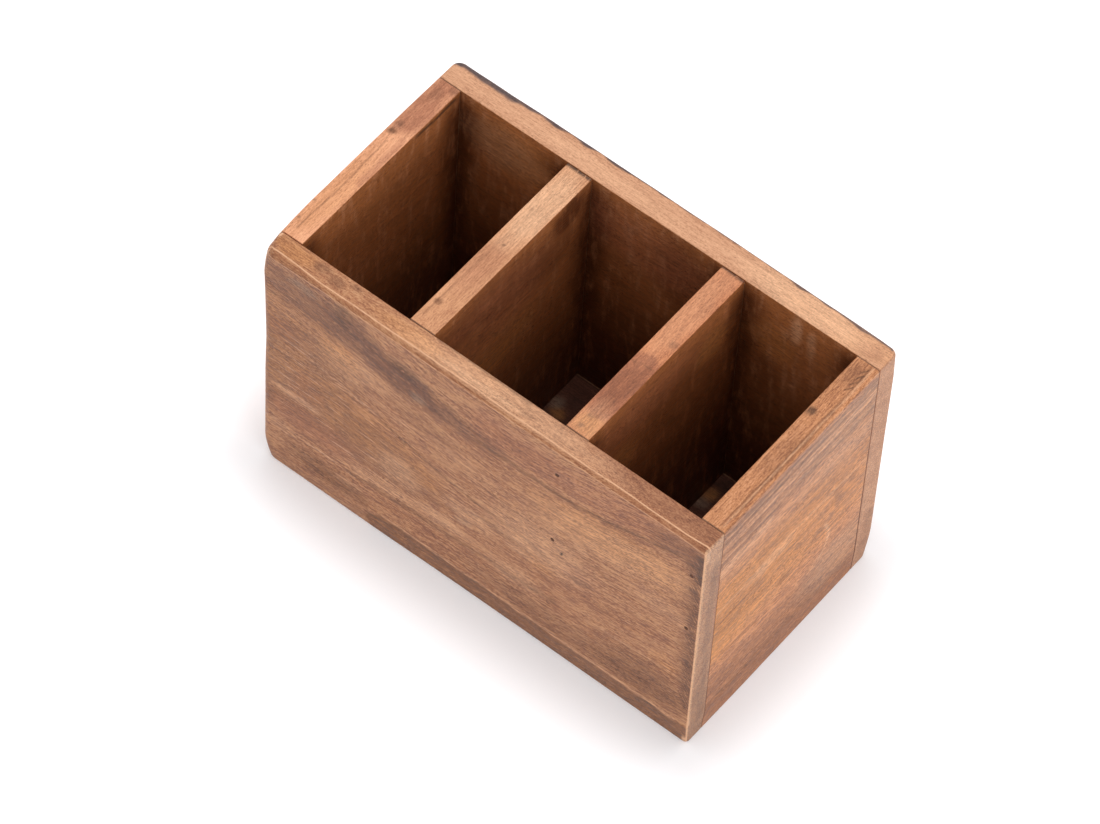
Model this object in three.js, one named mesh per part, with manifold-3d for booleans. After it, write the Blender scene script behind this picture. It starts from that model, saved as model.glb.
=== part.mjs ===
// A pen box of seven boards: front and back run the full length, the two ends and the two
// dividers stand between them, and the bottom is let in flush with the lower edges.
// The butt joints are held by headless panel pins. The outside was rounded after assembly and has
// worn unevenly since, most along the foot, where a low facet leans in.
// Millimetres, +Z up. The origin is the middle of the underside, +X to the right, +Y to the back.

import * as THREE from 'three';
import { mergeVertices } from 'three/addons/utils/BufferGeometryUtils.js';
import Module from 'manifold-3d';

const wasm = await Module();
wasm.setup();

// Outside of the box
const LENGTH = 160;
const DEPTH = 89;
const HEIGHT = 104;

// Boards
const FRONT_THICKNESS = 8.2;
const BACK_THICKNESS = 9.2;
const END_THICKNESS = 8.1;
const LEFT_DIVIDER_THICKNESS = 9;
const RIGHT_DIVIDER_THICKNESS = 8.2;
const BOTTOM_THICKNESS = 5.5;
const GLUE_LINE = 0.3;

// Left faces of the dividers, from the outside of the left end
const LEFT_DIVIDER_AT = 47.7;
const RIGHT_DIVIDER_AT = 103.8;

// Upright corners: which way each lies, and its radius at the foot, above the facet and at the rim
const CORNERS = [
  { x: -1, y: -1, foot: 4.6, facet: 3.4, rim: 2.5 },
  { x: 1, y: -1, foot: 1.6, facet: 0.75, rim: 0.7 },
  { x: 1, y: 1, foot: 3.6, facet: 2.3, rim: 1.9 },
  { x: -1, y: 1, foot: 4.2, facet: 3.2, rim: 3.2 },
];

// Sides, each at its two ends, anticlockwise from the front left: the radius of its arris along the rim, how
// flat that arris is from 0 to 1, the radius along the foot, and how far the facet leans in at the underside
const SIDES = {
  front: [
    { rim: 1.4, flat: 0.2, foot: 0.6, lean: 0.8 },
    { rim: 1.4, flat: 0.9, foot: 0.5, lean: 1.5 },
  ],
  right: [
    { rim: 0.9, flat: 0, foot: 0.5, lean: 0.7 },
    { rim: 1, flat: 0, foot: 0.5, lean: 0.45 },
  ],
  back: [
    { rim: 1.5, flat: 0, foot: 0.8, lean: 0.7 },
    { rim: 1.7, flat: 0, foot: 0.9, lean: 0.9 },
  ],
  left: [
    { rim: 0.8, flat: 0, foot: 0.9, lean: 0.8 },
    { rim: 0.8, flat: 0, foot: 0.9, lean: 0.9 },
  ],
};
const FACET_HEIGHT = 10.4;
const SHARPEST_CORNER = 0.25;

// The eased inner edges of the rim, and the steps that each curve is cut into
const EASED_EDGE = 0.45;
const CORNER_STEPS = 5;
const ARRIS_STEPS = 4;
const EASED_STEPS = 3;

// Panel pins, and the holes that they were driven and punched into
const PIN_LENGTH = 20;
const PIN_HEAD_RADIUS = 0.55;
const PIN_HEAD_LENGTH = 0.8;
const PIN_NECK_LENGTH = 0.4;
const PIN_SHANK_RADIUS = 0.45;
const PIN_POINT_LENGTH = 2;
const PIN_SUNK = 0.7;
const HOLE_RADIUS = 0.8;
const HOLE_SPARE = 0.6;
const HOLE_OVERRUN = 1;
const PIN_SIDES = 8;

// Heights of the pins above the underside, joint by joint from left to right
const PIN_JOINTS = [
  { board: 'left_end', heights: { top: 90, middle: 58, low: 24 } },
  { board: 'left_divider', heights: { top: 91, middle: 57, low: 25 } },
  { board: 'right_divider', heights: { top: 92, middle: 59, low: 26 } },
  { board: 'right_end', heights: { top: 88, middle: 61, low: 27 } },
];

const FRONT = -DEPTH / 2;
const BACK = DEPTH / 2;
const LEFT = -LENGTH / 2;
const RIGHT = LENGTH / 2;
const INNER_DEPTH = DEPTH - FRONT_THICKNESS - BACK_THICKNESS - 2 * GLUE_LINE;
const INNER_LENGTH = LENGTH - 2 * END_THICKNESS - 2 * GLUE_LINE;
const INNER_FRONT = FRONT + FRONT_THICKNESS + GLUE_LINE;
const DIVIDER_FOOT = BOTTOM_THICKNESS + GLUE_LINE;

const UP = new THREE.Vector3(0, 0, 1);

const finishes = {
  front: new THREE.MeshStandardMaterial({ color: '#a5775e', roughness: 0.55, metalness: 0 }),
  back: new THREE.MeshStandardMaterial({ color: '#c28f6c', roughness: 0.55, metalness: 0 }),
  end: new THREE.MeshStandardMaterial({ color: '#c48f6d', roughness: 0.55, metalness: 0 }),
  divider: new THREE.MeshStandardMaterial({ color: '#bd8461', roughness: 0.55, metalness: 0 }),
  bottom: new THREE.MeshStandardMaterial({ color: '#8a6248', roughness: 0.7, metalness: 0 }),
  pin: new THREE.MeshStandardMaterial({ color: '#6b625a', roughness: 0.45, metalness: 0.9 }),
};

// A closed geometry as a solid for cutting
function toSolid(geometry) {
  const bare = geometry.clone();
  bare.deleteAttribute('normal');
  bare.deleteAttribute('uv');
  const merged = mergeVertices(bare, 1e-4);
  return new wasm.Manifold(new wasm.Mesh({
    numProp: 3,
    vertProperties: new Float32Array(merged.attributes.position.array),
    triVerts: new Uint32Array(merged.index.array),
  }));
}

// A cut solid as a geometry again, with flat faces
function toGeometry(solid) {
  const { vertProperties, triVerts } = solid.getMesh();
  const geometry = new THREE.BufferGeometry();
  geometry.setAttribute('position', new THREE.BufferAttribute(vertProperties, 3));
  geometry.setIndex(new THREE.BufferAttribute(triVerts, 1));
  const flat = geometry.toNonIndexed();
  flat.computeVertexNormals();
  return flat;
}

// The sections of the worn outside from the underside up to the top. In each, a side's wear gives how far
// its arris has turned in, how far the facet leans in and how high the section is, and a corner has a radius.
function wornSections() {
  const turns = Array.from({ length: ARRIS_STEPS + 1 }, (_, step) => step / ARRIS_STEPS);
  const inwards = (turn) => 1 - Math.cos(turn * Math.PI / 2);
  const upwards = (turn) => 1 - Math.sin(turn * Math.PI / 2);
  const footSections = turns.toReversed().map((turn) => ({
    turned: ({ foot }) => foot * inwards(turn),
    leaning: ({ foot, lean }) => lean * (1 - foot * upwards(turn) / FACET_HEIGHT),
    height: ({ foot }) => foot * upwards(turn),
    radius: ({ foot }) => foot,
  }));
  const facetTop = {
    turned: () => 0,
    leaning: () => 0,
    height: () => FACET_HEIGHT,
    radius: ({ facet }) => facet,
  };
  const rimSections = turns.map((turn) => ({
    turned: ({ rim, flat }) => rim * THREE.MathUtils.lerp(inwards(turn), turn, flat),
    leaning: () => 0,
    height: ({ rim, flat }) => HEIGHT - rim * THREE.MathUtils.lerp(upwards(turn), 1 - turn, flat),
    radius: ({ rim }) => rim,
  }));
  return [...footSections, facetTop, ...rimSections];
}

// The points of one section, anticlockwise from the front left. Each corner turns from one side to the next.
function sectionPoints({ turned, leaning, height, radius }) {
  const { front, right, back, left } = SIDES;
  const meeting = [[left[1], front[0]], [front[1], right[0]], [right[1], back[0]], [back[1], left[0]]];
  return CORNERS.flatMap((corner, index) => {
    const [from, to] = meeting[index];
    const [endSide, longSide] = index % 2 ? [to, from] : [from, to];
    const reach = Math.max(radius(corner) - (turned(from) + turned(to)) / 2, SHARPEST_CORNER);
    const centre = new THREE.Vector2(
      corner.x * (LENGTH / 2 - turned(endSide) - leaning(endSide) - reach),
      corner.y * (DEPTH / 2 - turned(longSide) - leaning(longSide) - reach),
    );
    const start = Math.PI + index * Math.PI / 2;
    return Array.from({ length: CORNER_STEPS + 1 }, (_, step) => {
      const share = step / CORNER_STEPS;
      const angle = start + share * Math.PI / 2;
      const x = centre.x + reach * Math.cos(angle);
      const y = centre.y + reach * Math.sin(angle);
      return [x, y, THREE.MathUtils.lerp(height(from), height(to), share)];
    });
  });
}

// The outside of the assembled box as one block, lofted through its sections
function wornBlock() {
  const rings = wornSections().map(sectionPoints);
  const count = rings[0].length;
  const faces = [];
  for (let level = 0; level < rings.length - 1; level += 1) {
    for (let index = 0; index < count; index += 1) {
      const next = (index + 1) % count;
      const lower = level * count;
      const upper = lower + count;
      faces.push(lower + index, lower + next, upper + next, lower + index, upper + next, upper + index);
    }
  }
  const underside = rings.length * count;
  const top = underside + 1;
  const topRing = underside - count;
  for (let index = 0; index < count; index += 1) {
    const next = (index + 1) % count;
    faces.push(underside, next, index, top, topRing + index, topRing + next);
  }
  const geometry = new THREE.BufferGeometry();
  const points = [...rings.flat(2), 0, 0, 0, 0, 0, HEIGHT];
  geometry.setAttribute('position', new THREE.Float32BufferAttribute(points, 3));
  geometry.setIndex(faces);
  return geometry;
}

// A board on edge: its length lies along X, its thickness along Y from 0, and both top edges are eased
function board(length, thickness, height) {
  const section = new THREE.Shape();
  section.moveTo(0, 0);
  section.lineTo(thickness, 0);
  section.absarc(thickness - EASED_EDGE, height - EASED_EDGE, EASED_EDGE, 0, Math.PI / 2);
  section.absarc(EASED_EDGE, height - EASED_EDGE, EASED_EDGE, Math.PI / 2, Math.PI);
  const geometry = new THREE.ExtrudeGeometry(section, {
    depth: length,
    steps: 1,
    bevelEnabled: false,
    curveSegments: EASED_STEPS,
  });
  const axes = new THREE.Matrix4().makeBasis(new THREE.Vector3(0, 1, 0), UP, new THREE.Vector3(1, 0, 0));
  return geometry.applyMatrix4(axes);
}

// A long board, with its outer left corner at the given place
function longBoard(thickness, y) {
  return board(LENGTH, thickness, HEIGHT).translate(LEFT, y, 0);
}

// A board turned to run from front to back, with its left face at x and its foot at z
function crossBoard(thickness, x, z) {
  const turned = board(INNER_DEPTH, thickness, HEIGHT - z).rotateZ(Math.PI / 2);
  return turned.translate(x + thickness, INNER_FRONT, z);
}

// A headless panel pin along +Y, from its head at 0 to its point
function pinGeometry() {
  const profile = [
    [0, 0],
    [PIN_HEAD_RADIUS, 0],
    [PIN_HEAD_RADIUS, PIN_HEAD_LENGTH],
    [PIN_SHANK_RADIUS, PIN_HEAD_LENGTH + PIN_NECK_LENGTH],
    [PIN_SHANK_RADIUS, PIN_LENGTH - PIN_POINT_LENGTH],
    [0, PIN_LENGTH],
  ];
  const points = profile.map(([radius, along]) => new THREE.Vector2(radius, along));
  return new THREE.LatheGeometry(points, PIN_SIDES);
}

// The hole of a pin that is driven in at y, inwards along Y. It starts outside the face, to cut it through.
function pinHole(x, y, z, inwards) {
  const depth = PIN_SUNK + PIN_LENGTH + HOLE_SPARE;
  const hole = new THREE.CylinderGeometry(HOLE_RADIUS, HOLE_RADIUS, depth + HOLE_OVERRUN, PIN_SIDES);
  return toSolid(hole.translate(x, y + inwards * (depth - HOLE_OVERRUN) / 2, z));
}

const middleOfCrossBoard = {
  left_end: LEFT + END_THICKNESS / 2,
  left_divider: LEFT + LEFT_DIVIDER_AT + LEFT_DIVIDER_THICKNESS / 2,
  right_divider: LEFT + RIGHT_DIVIDER_AT + RIGHT_DIVIDER_THICKNESS / 2,
  right_end: RIGHT - END_THICKNESS / 2,
};

const pinSides = [
  { side: 'front', face: FRONT, inwards: 1, turn: 0 },
  { side: 'back', face: BACK, inwards: -1, turn: Math.PI },
];

const pins = pinSides.flatMap(({ side, face, inwards, turn }) =>
  PIN_JOINTS.flatMap(({ board: crossName, heights }) =>
    Object.entries(heights).map(([level, z]) => ({
      name: `pin_${side}_${crossName}_${level}`,
      holds: [`${side}_board`, crossName],
      place: new THREE.Vector3(middleOfCrossBoard[crossName], face + inwards * PIN_SUNK, z),
      turn,
      hole: pinHole(middleOfCrossBoard[crossName], face, z, inwards),
    }))));

const outside = toSolid(wornBlock());

const bottomBlank = new THREE.BoxGeometry(INNER_LENGTH, INNER_DEPTH, BOTTOM_THICKNESS);
const bottomY = INNER_FRONT + INNER_DEPTH / 2;

const boards = [
  { name: 'front_board', finish: 'front', blank: longBoard(FRONT_THICKNESS, FRONT) },
  { name: 'back_board', finish: 'back', blank: longBoard(BACK_THICKNESS, BACK - BACK_THICKNESS) },
  { name: 'left_end', finish: 'end', blank: crossBoard(END_THICKNESS, LEFT, 0) },
  { name: 'right_end', finish: 'end', blank: crossBoard(END_THICKNESS, RIGHT - END_THICKNESS, 0) },
  {
    name: 'left_divider',
    finish: 'divider',
    blank: crossBoard(LEFT_DIVIDER_THICKNESS, LEFT + LEFT_DIVIDER_AT, DIVIDER_FOOT),
  },
  {
    name: 'right_divider',
    finish: 'divider',
    blank: crossBoard(RIGHT_DIVIDER_THICKNESS, LEFT + RIGHT_DIVIDER_AT, DIVIDER_FOOT),
  },
  { name: 'bottom_panel', finish: 'bottom', blank: bottomBlank.translate(0, bottomY, BOTTOM_THICKNESS / 2) },
];

const penBox = new THREE.Group();

for (const { name, finish, blank } of boards) {
  const holes = pins.filter(({ holds }) => holds.includes(name)).map(({ hole }) => hole);
  const solid = holes.reduce((rest, hole) => rest.subtract(hole), toSolid(blank).intersect(outside));
  const mesh = new THREE.Mesh(toGeometry(solid), finishes[finish]);
  mesh.name = name;
  penBox.add(mesh);
}

for (const { name, place, turn } of pins) {
  const mesh = new THREE.Mesh(pinGeometry(), finishes.pin);
  mesh.name = name;
  mesh.position.copy(place);
  mesh.rotation.z = turn;
  penBox.add(mesh);
}

export default penBox;
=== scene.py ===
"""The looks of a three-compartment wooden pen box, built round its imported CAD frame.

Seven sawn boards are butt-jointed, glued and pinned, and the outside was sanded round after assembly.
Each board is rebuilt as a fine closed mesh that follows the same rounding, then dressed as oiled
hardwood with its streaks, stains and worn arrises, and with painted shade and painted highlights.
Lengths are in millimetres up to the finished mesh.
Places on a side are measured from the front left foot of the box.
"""

import logging
import math
from collections.abc import Iterable, Mapping, Sequence
from dataclasses import dataclass, field
from enum import Enum
from functools import partial

import bmesh
import bpy
import numpy as np
from mathutils import Euler, Matrix, Vector, noise


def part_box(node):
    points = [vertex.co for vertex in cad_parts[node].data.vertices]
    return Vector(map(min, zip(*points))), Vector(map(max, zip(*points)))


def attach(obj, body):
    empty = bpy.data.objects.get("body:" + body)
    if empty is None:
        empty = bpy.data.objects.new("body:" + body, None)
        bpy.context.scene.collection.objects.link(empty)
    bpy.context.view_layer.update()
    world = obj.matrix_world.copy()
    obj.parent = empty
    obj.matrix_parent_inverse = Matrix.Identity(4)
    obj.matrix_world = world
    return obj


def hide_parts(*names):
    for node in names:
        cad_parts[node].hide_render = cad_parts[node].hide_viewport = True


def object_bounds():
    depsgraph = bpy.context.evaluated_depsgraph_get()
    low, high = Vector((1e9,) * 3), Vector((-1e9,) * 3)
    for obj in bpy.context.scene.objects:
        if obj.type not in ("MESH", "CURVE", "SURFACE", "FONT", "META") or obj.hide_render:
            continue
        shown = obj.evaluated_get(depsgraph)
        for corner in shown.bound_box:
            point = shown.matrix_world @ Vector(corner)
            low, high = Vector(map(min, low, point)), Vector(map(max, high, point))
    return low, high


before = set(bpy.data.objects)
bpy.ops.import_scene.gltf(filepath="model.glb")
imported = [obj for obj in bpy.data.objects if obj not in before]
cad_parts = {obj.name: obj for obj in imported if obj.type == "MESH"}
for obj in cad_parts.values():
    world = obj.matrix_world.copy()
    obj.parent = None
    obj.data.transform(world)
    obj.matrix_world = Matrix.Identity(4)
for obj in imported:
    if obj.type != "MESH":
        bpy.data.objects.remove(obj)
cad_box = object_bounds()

log = logging.getLogger("pen_box")

BODY = "root"
METRE = 1000.0
PHOTO_WIDTH = 1100
# In millimetres: the least length that anything is divided by, how near to a side its points lie, how far the
# outline of a mark strays at most, and a distance from an arris that no wear reaches.
TINY = 1e-9
ON_SIDE = 1e-6
MOST_SWAY = 1.6
FAR = 9.0

SMOOTHLY = {"interpolation_type": "SMOOTHSTEP"}
CLAMPED_PRODUCT = {"operation": "MULTIPLY", "use_clamp": True}
CLAMPED_LINE = {"operation": "MULTIPLY_ADD", "use_clamp": True}

Array = np.ndarray
Box = tuple[Array, Array]
Tree = bpy.types.NodeTree
Node = bpy.types.Node
Piece = bpy.types.Object
Material = bpy.types.Material


class Side(Enum):
    """A side of the box or of a board: the axis square to it, and which way along that axis it looks."""

    LEFT = (0, -1)
    RIGHT = (0, 1)
    FRONT = (1, -1)
    BACK = (1, 1)
    UNDER = (2, -1)
    TOP = (2, 1)

    @property
    def axis(self) -> int:
        """The axis that the side is square to."""
        return self.value[0]

    @property
    def sign(self) -> int:
        """Which way along its axis the side looks."""
        return self.value[1]

    @property
    def across(self) -> tuple[int, int]:
        """The two axes that lie in the side."""
        first, second = (axis for axis in range(3) if axis != self.axis)
        return first, second

    @property
    def opposite(self) -> "Side":
        """The side that looks the other way."""
        return Side((self.axis, -self.sign))


class Grain(Enum):
    """Which way a board's grain runs, as the turn about the upright axis that brings it to the pattern's X."""

    ALONG_BOX = 0.0
    ACROSS_BOX = -math.pi / 2


class Tint(Enum):
    """A colour laid over the bare wood, and the mesh attribute that carries how strong it is. Most are discolorations;
    the deep one is painted shade, and the pale and bright ones are in part painted highlight.
    """

    INSIDE = "inside"
    # Painted shade on the compartment walls, darker towards their foot and upright corners.
    DEEP = "deep"
    RUDDY = "ruddy"
    PALE = "pale"
    ORANGE = "orange"
    STREAK = "streak"
    FIGURE = "figure"
    SCRATCH = "scratch"
    # Pale fibres, in part painted glints.
    BRIGHT = "bright"
    DUST = "dust"
    GRIME = "grime"
    SOOT = "soot"


def linear(hex_colour: str) -> tuple[float, float, float, float]:
    """Turns an sRGB hex colour into linear RGBA.

    Args:
        hex_colour: The colour, such as "#a3735b".

    Returns:
        Red, green, blue and an alpha of 1, in linear light.
    """
    parts = [int(hex_colour[start : start + 2], 16) / 255 for start in (1, 3, 5)]
    red, green, blue = (p / 12.92 if p <= 0.04045 else ((p + 0.055) / 1.055) ** 2.4 for p in parts)
    return red, green, blue, 1.0


def add(
    tree: Tree,
    kind: str,
    settings: Mapping[str, object] | None = None,
    inputs: Mapping[int | str, object] | None = None,
    stops: Sequence[tuple[float, str]] = (),
) -> Node:
    """Adds a node with its settings and links.

    Args:
        tree: The node tree that gets it.
        kind: The node's type.
        settings: Its properties by name.
        inputs: What each input holds by name or number: a value, a socket, or a node for its first output.
        stops: The places and hex colours of a colour ramp.

    Returns:
        The new node.
    """
    node = tree.nodes.new(kind)
    for name, value in (settings or {}).items():
        setattr(node, name, value)
    for name, value in (inputs or {}).items():
        if isinstance(value, Node):
            value = next(socket for socket in value.outputs if socket.enabled)
        if isinstance(value, bpy.types.NodeSocket):
            tree.links.new(value, node.inputs[name])
        else:
            node.inputs[name].default_value = value
    for place, colour in stops[2:]:
        node.color_ramp.elements.new(place)
    for element, (place, colour) in zip(node.color_ramp.elements if stops else (), stops):
        element.position = place
        element.color = linear(colour)
    return node


def smooth(low: float | Array, high: float | Array, value: Array) -> Array:
    """Rises smoothly from 0 where value is at low to 1 where it is at high."""
    share = np.clip((value - low) / (high - low), 0.0, 1.0)
    return share * share * (3.0 - 2.0 * share)


def drift(points: Array, length: float, seed: float) -> Array:
    """A smooth random field, the same on every run.

    Args:
        points: Places, one row each.
        length: The distance over which the field changes.
        seed: Shifts the field, so that two of them differ.

    Returns:
        A value of about -1 to 1 for each place.
    """
    shift = Vector((seed, 2.3 * seed, -1.7 * seed))
    return np.array([noise.noise(Vector(point) / length + shift) for point in points.tolist()])


Course = tuple[tuple[float, float], ...]


def follow(course: Course, place: Array) -> Array:
    """A size that changes along a side: its value at each place, between the stops of its course."""
    return np.interp(place, *zip(*course))


@dataclass(frozen=True)
class Rounding:
    """How the outside of the assembled box was sanded round and worn. A course gives a size at places along
    its side, or at heights for an upright corner."""

    length: float
    depth: float
    height: float
    front_left: Course = ((0, 4.6), (10, 3.4), (45, 3.2), (60, 3.7), (82, 2.7), (93, 2.0), (98, 2.9), (104, 5.0))
    front_right: Course = ((0, 1.8), (9, 0.75), (95, 0.7), (104, 1.3))
    back_right: Course = ((0, 3.6), (14, 2.3), (50, 2.1), (92, 1.9), (104, 2.8))
    back_left: Course = ((0, 4.2), (12, 3.2), (104, 3.2))
    rim_front: Course = ((0, 2.2), (6, 2.0), (20, 1.2), (50, 1.4), (152, 1.3), (160, 1.9))
    rim_right: Course = ((0, 1.7), (6, 0.9), (82, 0.9), (89, 1.7))
    rim_back: Course = ((0, 2.1), (20, 2.1), (35, 1.2), (100, 1.1), (140, 1.4), (154, 1.6), (160, 2.2))
    rim_left: Course = ((0, 4.6), (4, 3.4), (7, 2.1), (14, 1.0), (22, 0.4), (66, 0.4), (89, 1.2))
    foot_front: Course = ((0, 0.6), (160, 0.5))
    foot_right: Course = ((0, 0.5), (89, 0.5))
    foot_back: Course = ((0, 0.9), (160, 0.8))
    foot_left: Course = ((0, 0.9), (89, 0.9))
    chamfered: Course = ((0, 0.0), (25, 0.2), (50, 0.9), (160, 0.9))
    foot_rise: float = 10.4
    lean_front: Course = ((0, 0.8), (45, 0.95), (75, 1.35), (160, 1.54))
    lean_right: Course = ((0, 0.71), (30, 0.5), (89, 0.45))
    lean_back: Course = ((0, 0.9), (160, 0.7))
    lean_left: Course = ((0, 1.3), (89, 1.1))
    crisp: Course = ((0, 0.0), (35, 0.0), (55, 1.0), (160, 1.0))
    lean_depth: float = 7.5
    wander: float = 0.18
    wander_length: float = 13.0
    wander_seed: float = 4.7
    line_stop: float = 0.8

    def corner_radius(self, points: Array) -> Array:
        """The radius of the upright corner that each point is nearest to.

        Args:
            points: Places on the square block.

        Returns:
            One radius for each point.
        """
        right, back, height = points[:, 0] > 0, points[:, 1] > 0, points[:, 2]
        at_left = np.where(back, follow(self.back_left, height), follow(self.front_left, height))
        at_right = np.where(back, follow(self.back_right, height), follow(self.front_right, height))
        return np.where(right, at_right, at_left)

    def across_sides(self, points: Array, share: Array, sides: tuple[Course, Course, Course, Course]) -> Array:
        """A size that each side has its own course for, blended round the upright corners.

        Args:
            points: Places on the square block.
            share: How far each has turned from the left or right side to the front or back.
            sides: The courses of the front, right, back and left.

        Returns:
            One size for each point.
        """
        front, right, back, left = sides
        along, inward = points[:, 0] + self.length / 2, points[:, 1] + self.depth / 2
        end = np.where(points[:, 0] > 0, follow(right, inward), follow(left, inward))
        long_side = np.where(points[:, 1] > 0, follow(back, along), follow(front, along))
        return end + (long_side - end) * share

    def lean_in(self, points: Array) -> None:
        """Leans the foot of each side in, as the worn facet along the bottom does, in place.

        Args:
            points: Places on the block with its corners and arrises already rounded.
        """
        half = np.array((self.length, self.depth)) / 2
        along, inward = points[:, 0] + half[0], points[:, 1] + half[1]
        rise = np.clip(1 - points[:, 2] / self.foot_rise, 0, 1)
        crisp = np.where(points[:, 1] > 0, 0.0, follow(self.crisp, along))
        leans = (
            (0, np.where(points[:, 0] > 0, follow(self.lean_right, inward), follow(self.lean_left, inward)),
             np.where(points[:, 0] > 0, rise, rise * rise)),
            (1, np.where(points[:, 1] > 0, follow(self.lean_back, along), follow(self.lean_front, along)),
             rise * (rise + (1 - rise) * crisp)),
        )
        for axis, lean, profile in leans:
            fade = np.clip(1 - (half[axis] - np.abs(points[:, axis])) / self.lean_depth, 0, 1)
            points[:, axis] -= np.sign(points[:, axis]) * lean * profile * fade

    def wrap(self, points: Array) -> tuple[Array, Array, Array]:
        """Moves the points of the square block onto the rounded one.

        Args:
            points: Places in and on the square block, one row each, from the middle of its underside.

        Returns:
            The moved points; how far each lies across the front rim's arris, from -1 at the top to 1 at the side
            and on by 1 for each millimetre; and its distance from the middle of the upright corner.
        """
        half = np.array((self.length, self.depth)) / 2
        radius = self.corner_radius(points)
        sign = np.where(points[:, :2] > 0, 1.0, -1.0)
        reach = np.abs(points[:, :2]) - (half - radius[:, None])
        turning = (reach > 0).all(axis=1)
        span = np.maximum(np.hypot(*reach.T), TINY)
        to_side = half - np.abs(points[:, :2])
        depth = to_side.min(axis=1)
        nearest = np.eye(2)[to_side.argmin(axis=1)]
        outward = sign * np.where(turning[:, None], reach / span[:, None], nearest)
        turned = sign * (half - radius[:, None] + reach * (reach.max(axis=1) / span)[:, None])
        angle = np.arctan2(reach[:, 1], reach[:, 0])
        share = np.where(turning, angle / (math.pi / 2), nearest[:, 1])
        moved = points.copy()
        moved[:, :2] = np.where(turning[:, None], turned, points[:, :2])

        rim_sides = (self.rim_front, self.rim_right, self.rim_back, self.rim_left)
        foot_sides = (self.foot_front, self.foot_right, self.foot_back, self.foot_left)
        front_only = (self.chamfered, ((0, 0.0),), ((0, 0.0),), ((0, 0.0),))
        unsteady = 1 + self.wander * drift(points, self.wander_length, self.wander_seed)
        rim = self.across_front_rim(moved, unsteady)
        for sides, drop, up in ((rim_sides, self.height - points[:, 2], 1), (foot_sides, points[:, 2], -1)):
            arris = self.across_sides(points, share, sides) * unsteady
            inward, down = arris - depth, arris - drop
            rounded = (inward > 0) & (down > 0)
            curve = np.hypot(inward, down)
            if up > 0:
                curve += (inward + down - curve) * self.across_sides(points, share, front_only)
            keep = np.maximum(inward, down) / np.maximum(curve, TINY)
            moved[:, :2] -= outward * np.where(rounded, inward * (1 - keep), 0)[:, None]
            moved[:, 2] -= up * np.where(rounded, down * (1 - keep), 0)
        lead = reach[:, 1] - reach[:, 0]
        beyond = np.sign(lead) * (radius * math.pi / 4 - reach.min(axis=1))
        corner = np.where(turning, (angle - math.pi / 4) * radius, beyond)
        self.lean_in(moved)
        corner = np.where(points[:, 2] > self.height - self.line_stop, FAR, np.clip(corner, -FAR, FAR))
        return moved, rim, corner

    def across_front_rim(self, points: Array, unsteady: Array) -> Array:
        """How far each point lies across the front rim's arris. It runs straight on over the upright corners.

        Args:
            points: Places on the block with its upright corners already rounded.
            unsteady: How much the arris is wider than its course at each point, as a factor.

        Returns:
            One distance for each point, in the terms of the wrap.
        """
        arris = follow(self.rim_front, points[:, 0] + self.length / 2) * unsteady
        inward, down = arris - self.depth / 2 - points[:, 1], arris - self.height + points[:, 2]
        on_arris = np.arctan2(np.maximum(inward, 0), np.maximum(down, TINY)) / (math.pi / 4) - 1
        outside = np.where(inward <= 0, np.where(down > 0, inward - 1, FAR), 1 - down)
        return np.clip(np.where((inward > 0) & (down > 0), on_arris, outside), -FAR, FAR)


@dataclass(frozen=True)
class Blot:
    """A soft-edged patch on one side of a board: where its middle lies, its reach each way, how strong it is, its
    lean in degrees, and how much of it is edge."""

    along: float
    up: float
    reach_along: float
    reach_up: float
    strength: float = 1.0
    lean: float = 0.0
    blur: float = 0.5

    @property
    def sway(self) -> float:
        """How far its outline strays, in millimetres."""
        return min(MOST_SWAY, 0.4 * min(self.reach_along, self.reach_up))

    def weight(self, first: Array, second: Array) -> Array:
        """How strong the patch is at places on its side.

        Args:
            first: The places' distances along the side's first axis.
            second: Their distances along its second axis.

        Returns:
            A strength for each place.
        """
        turn = math.radians(self.lean)
        along, up = first - self.along, second - self.up
        along, up = along * math.cos(turn) + up * math.sin(turn), up * math.cos(turn) - along * math.sin(turn)
        distance = np.hypot(along / self.reach_along, up / self.reach_up)
        return self.strength * (1 - smooth(1 - self.blur, 1 + self.blur, distance))


@dataclass(frozen=True)
class Trail:
    """A mark that follows a line on one side of a board. Each point has its place, half width and strength."""

    points: tuple[tuple[float, float, float, float], ...]
    blur: float = 0.6

    @property
    def sway(self) -> float:
        """How far it strays from its line, in millimetres."""
        return min(MOST_SWAY, 0.7 * max(point[2] for point in self.points))

    def weight(self, first: Array, second: Array) -> Array:
        """How strong the mark is at places on its side.

        Args:
            first: The places' distances along the side's first axis.
            second: Their distances along its second axis.

        Returns:
            A strength for each place.
        """
        found = np.zeros(len(first))
        for start, end in zip(self.points, self.points[1:]):
            run, rise = end[0] - start[0], end[1] - start[1]
            share = ((first - start[0]) * run + (second - start[1]) * rise) / (run * run + rise * rise)
            share = np.clip(share, 0, 1)
            distance = np.hypot(first - start[0] - share * run, second - start[1] - share * rise)
            half = start[2] + share * (end[2] - start[2])
            strength = start[3] + share * (end[3] - start[3])
            edge = 1 - smooth(1 - self.blur, 1 + self.blur, distance / half)
            found = np.maximum(found, strength * edge)
        return found


Marks = Mapping[Side, Mapping[Tint, Sequence[Blot | Trail]]]


def line(half: float, strength: float, *places: tuple[float, float], blur: float = 0.6) -> Trail:
    """A mark of one half width and strength along a line of places."""
    return Trail(tuple((*place, half, strength) for place in places), blur)


def painted_wall_shade(reach: float, strength: float, *corners: float) -> tuple[Trail, ...]:
    """The painted shade of a compartment wall: it darkens towards the bottom and along its upright corners."""
    foot = line(reach, strength, (-20.0, 0.0), (180.0, 0.0), blur=0.8)
    return foot, *(line(6.5, 0.9, (corner, 0.0), (corner, 95.0), blur=0.9) for corner in corners)


def new_material(name: str) -> tuple[Material, Tree]:
    """Makes a material with an empty node tree, and returns both."""
    material = bpy.data.materials.new(name)
    return material, empty_tree(material)


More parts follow.
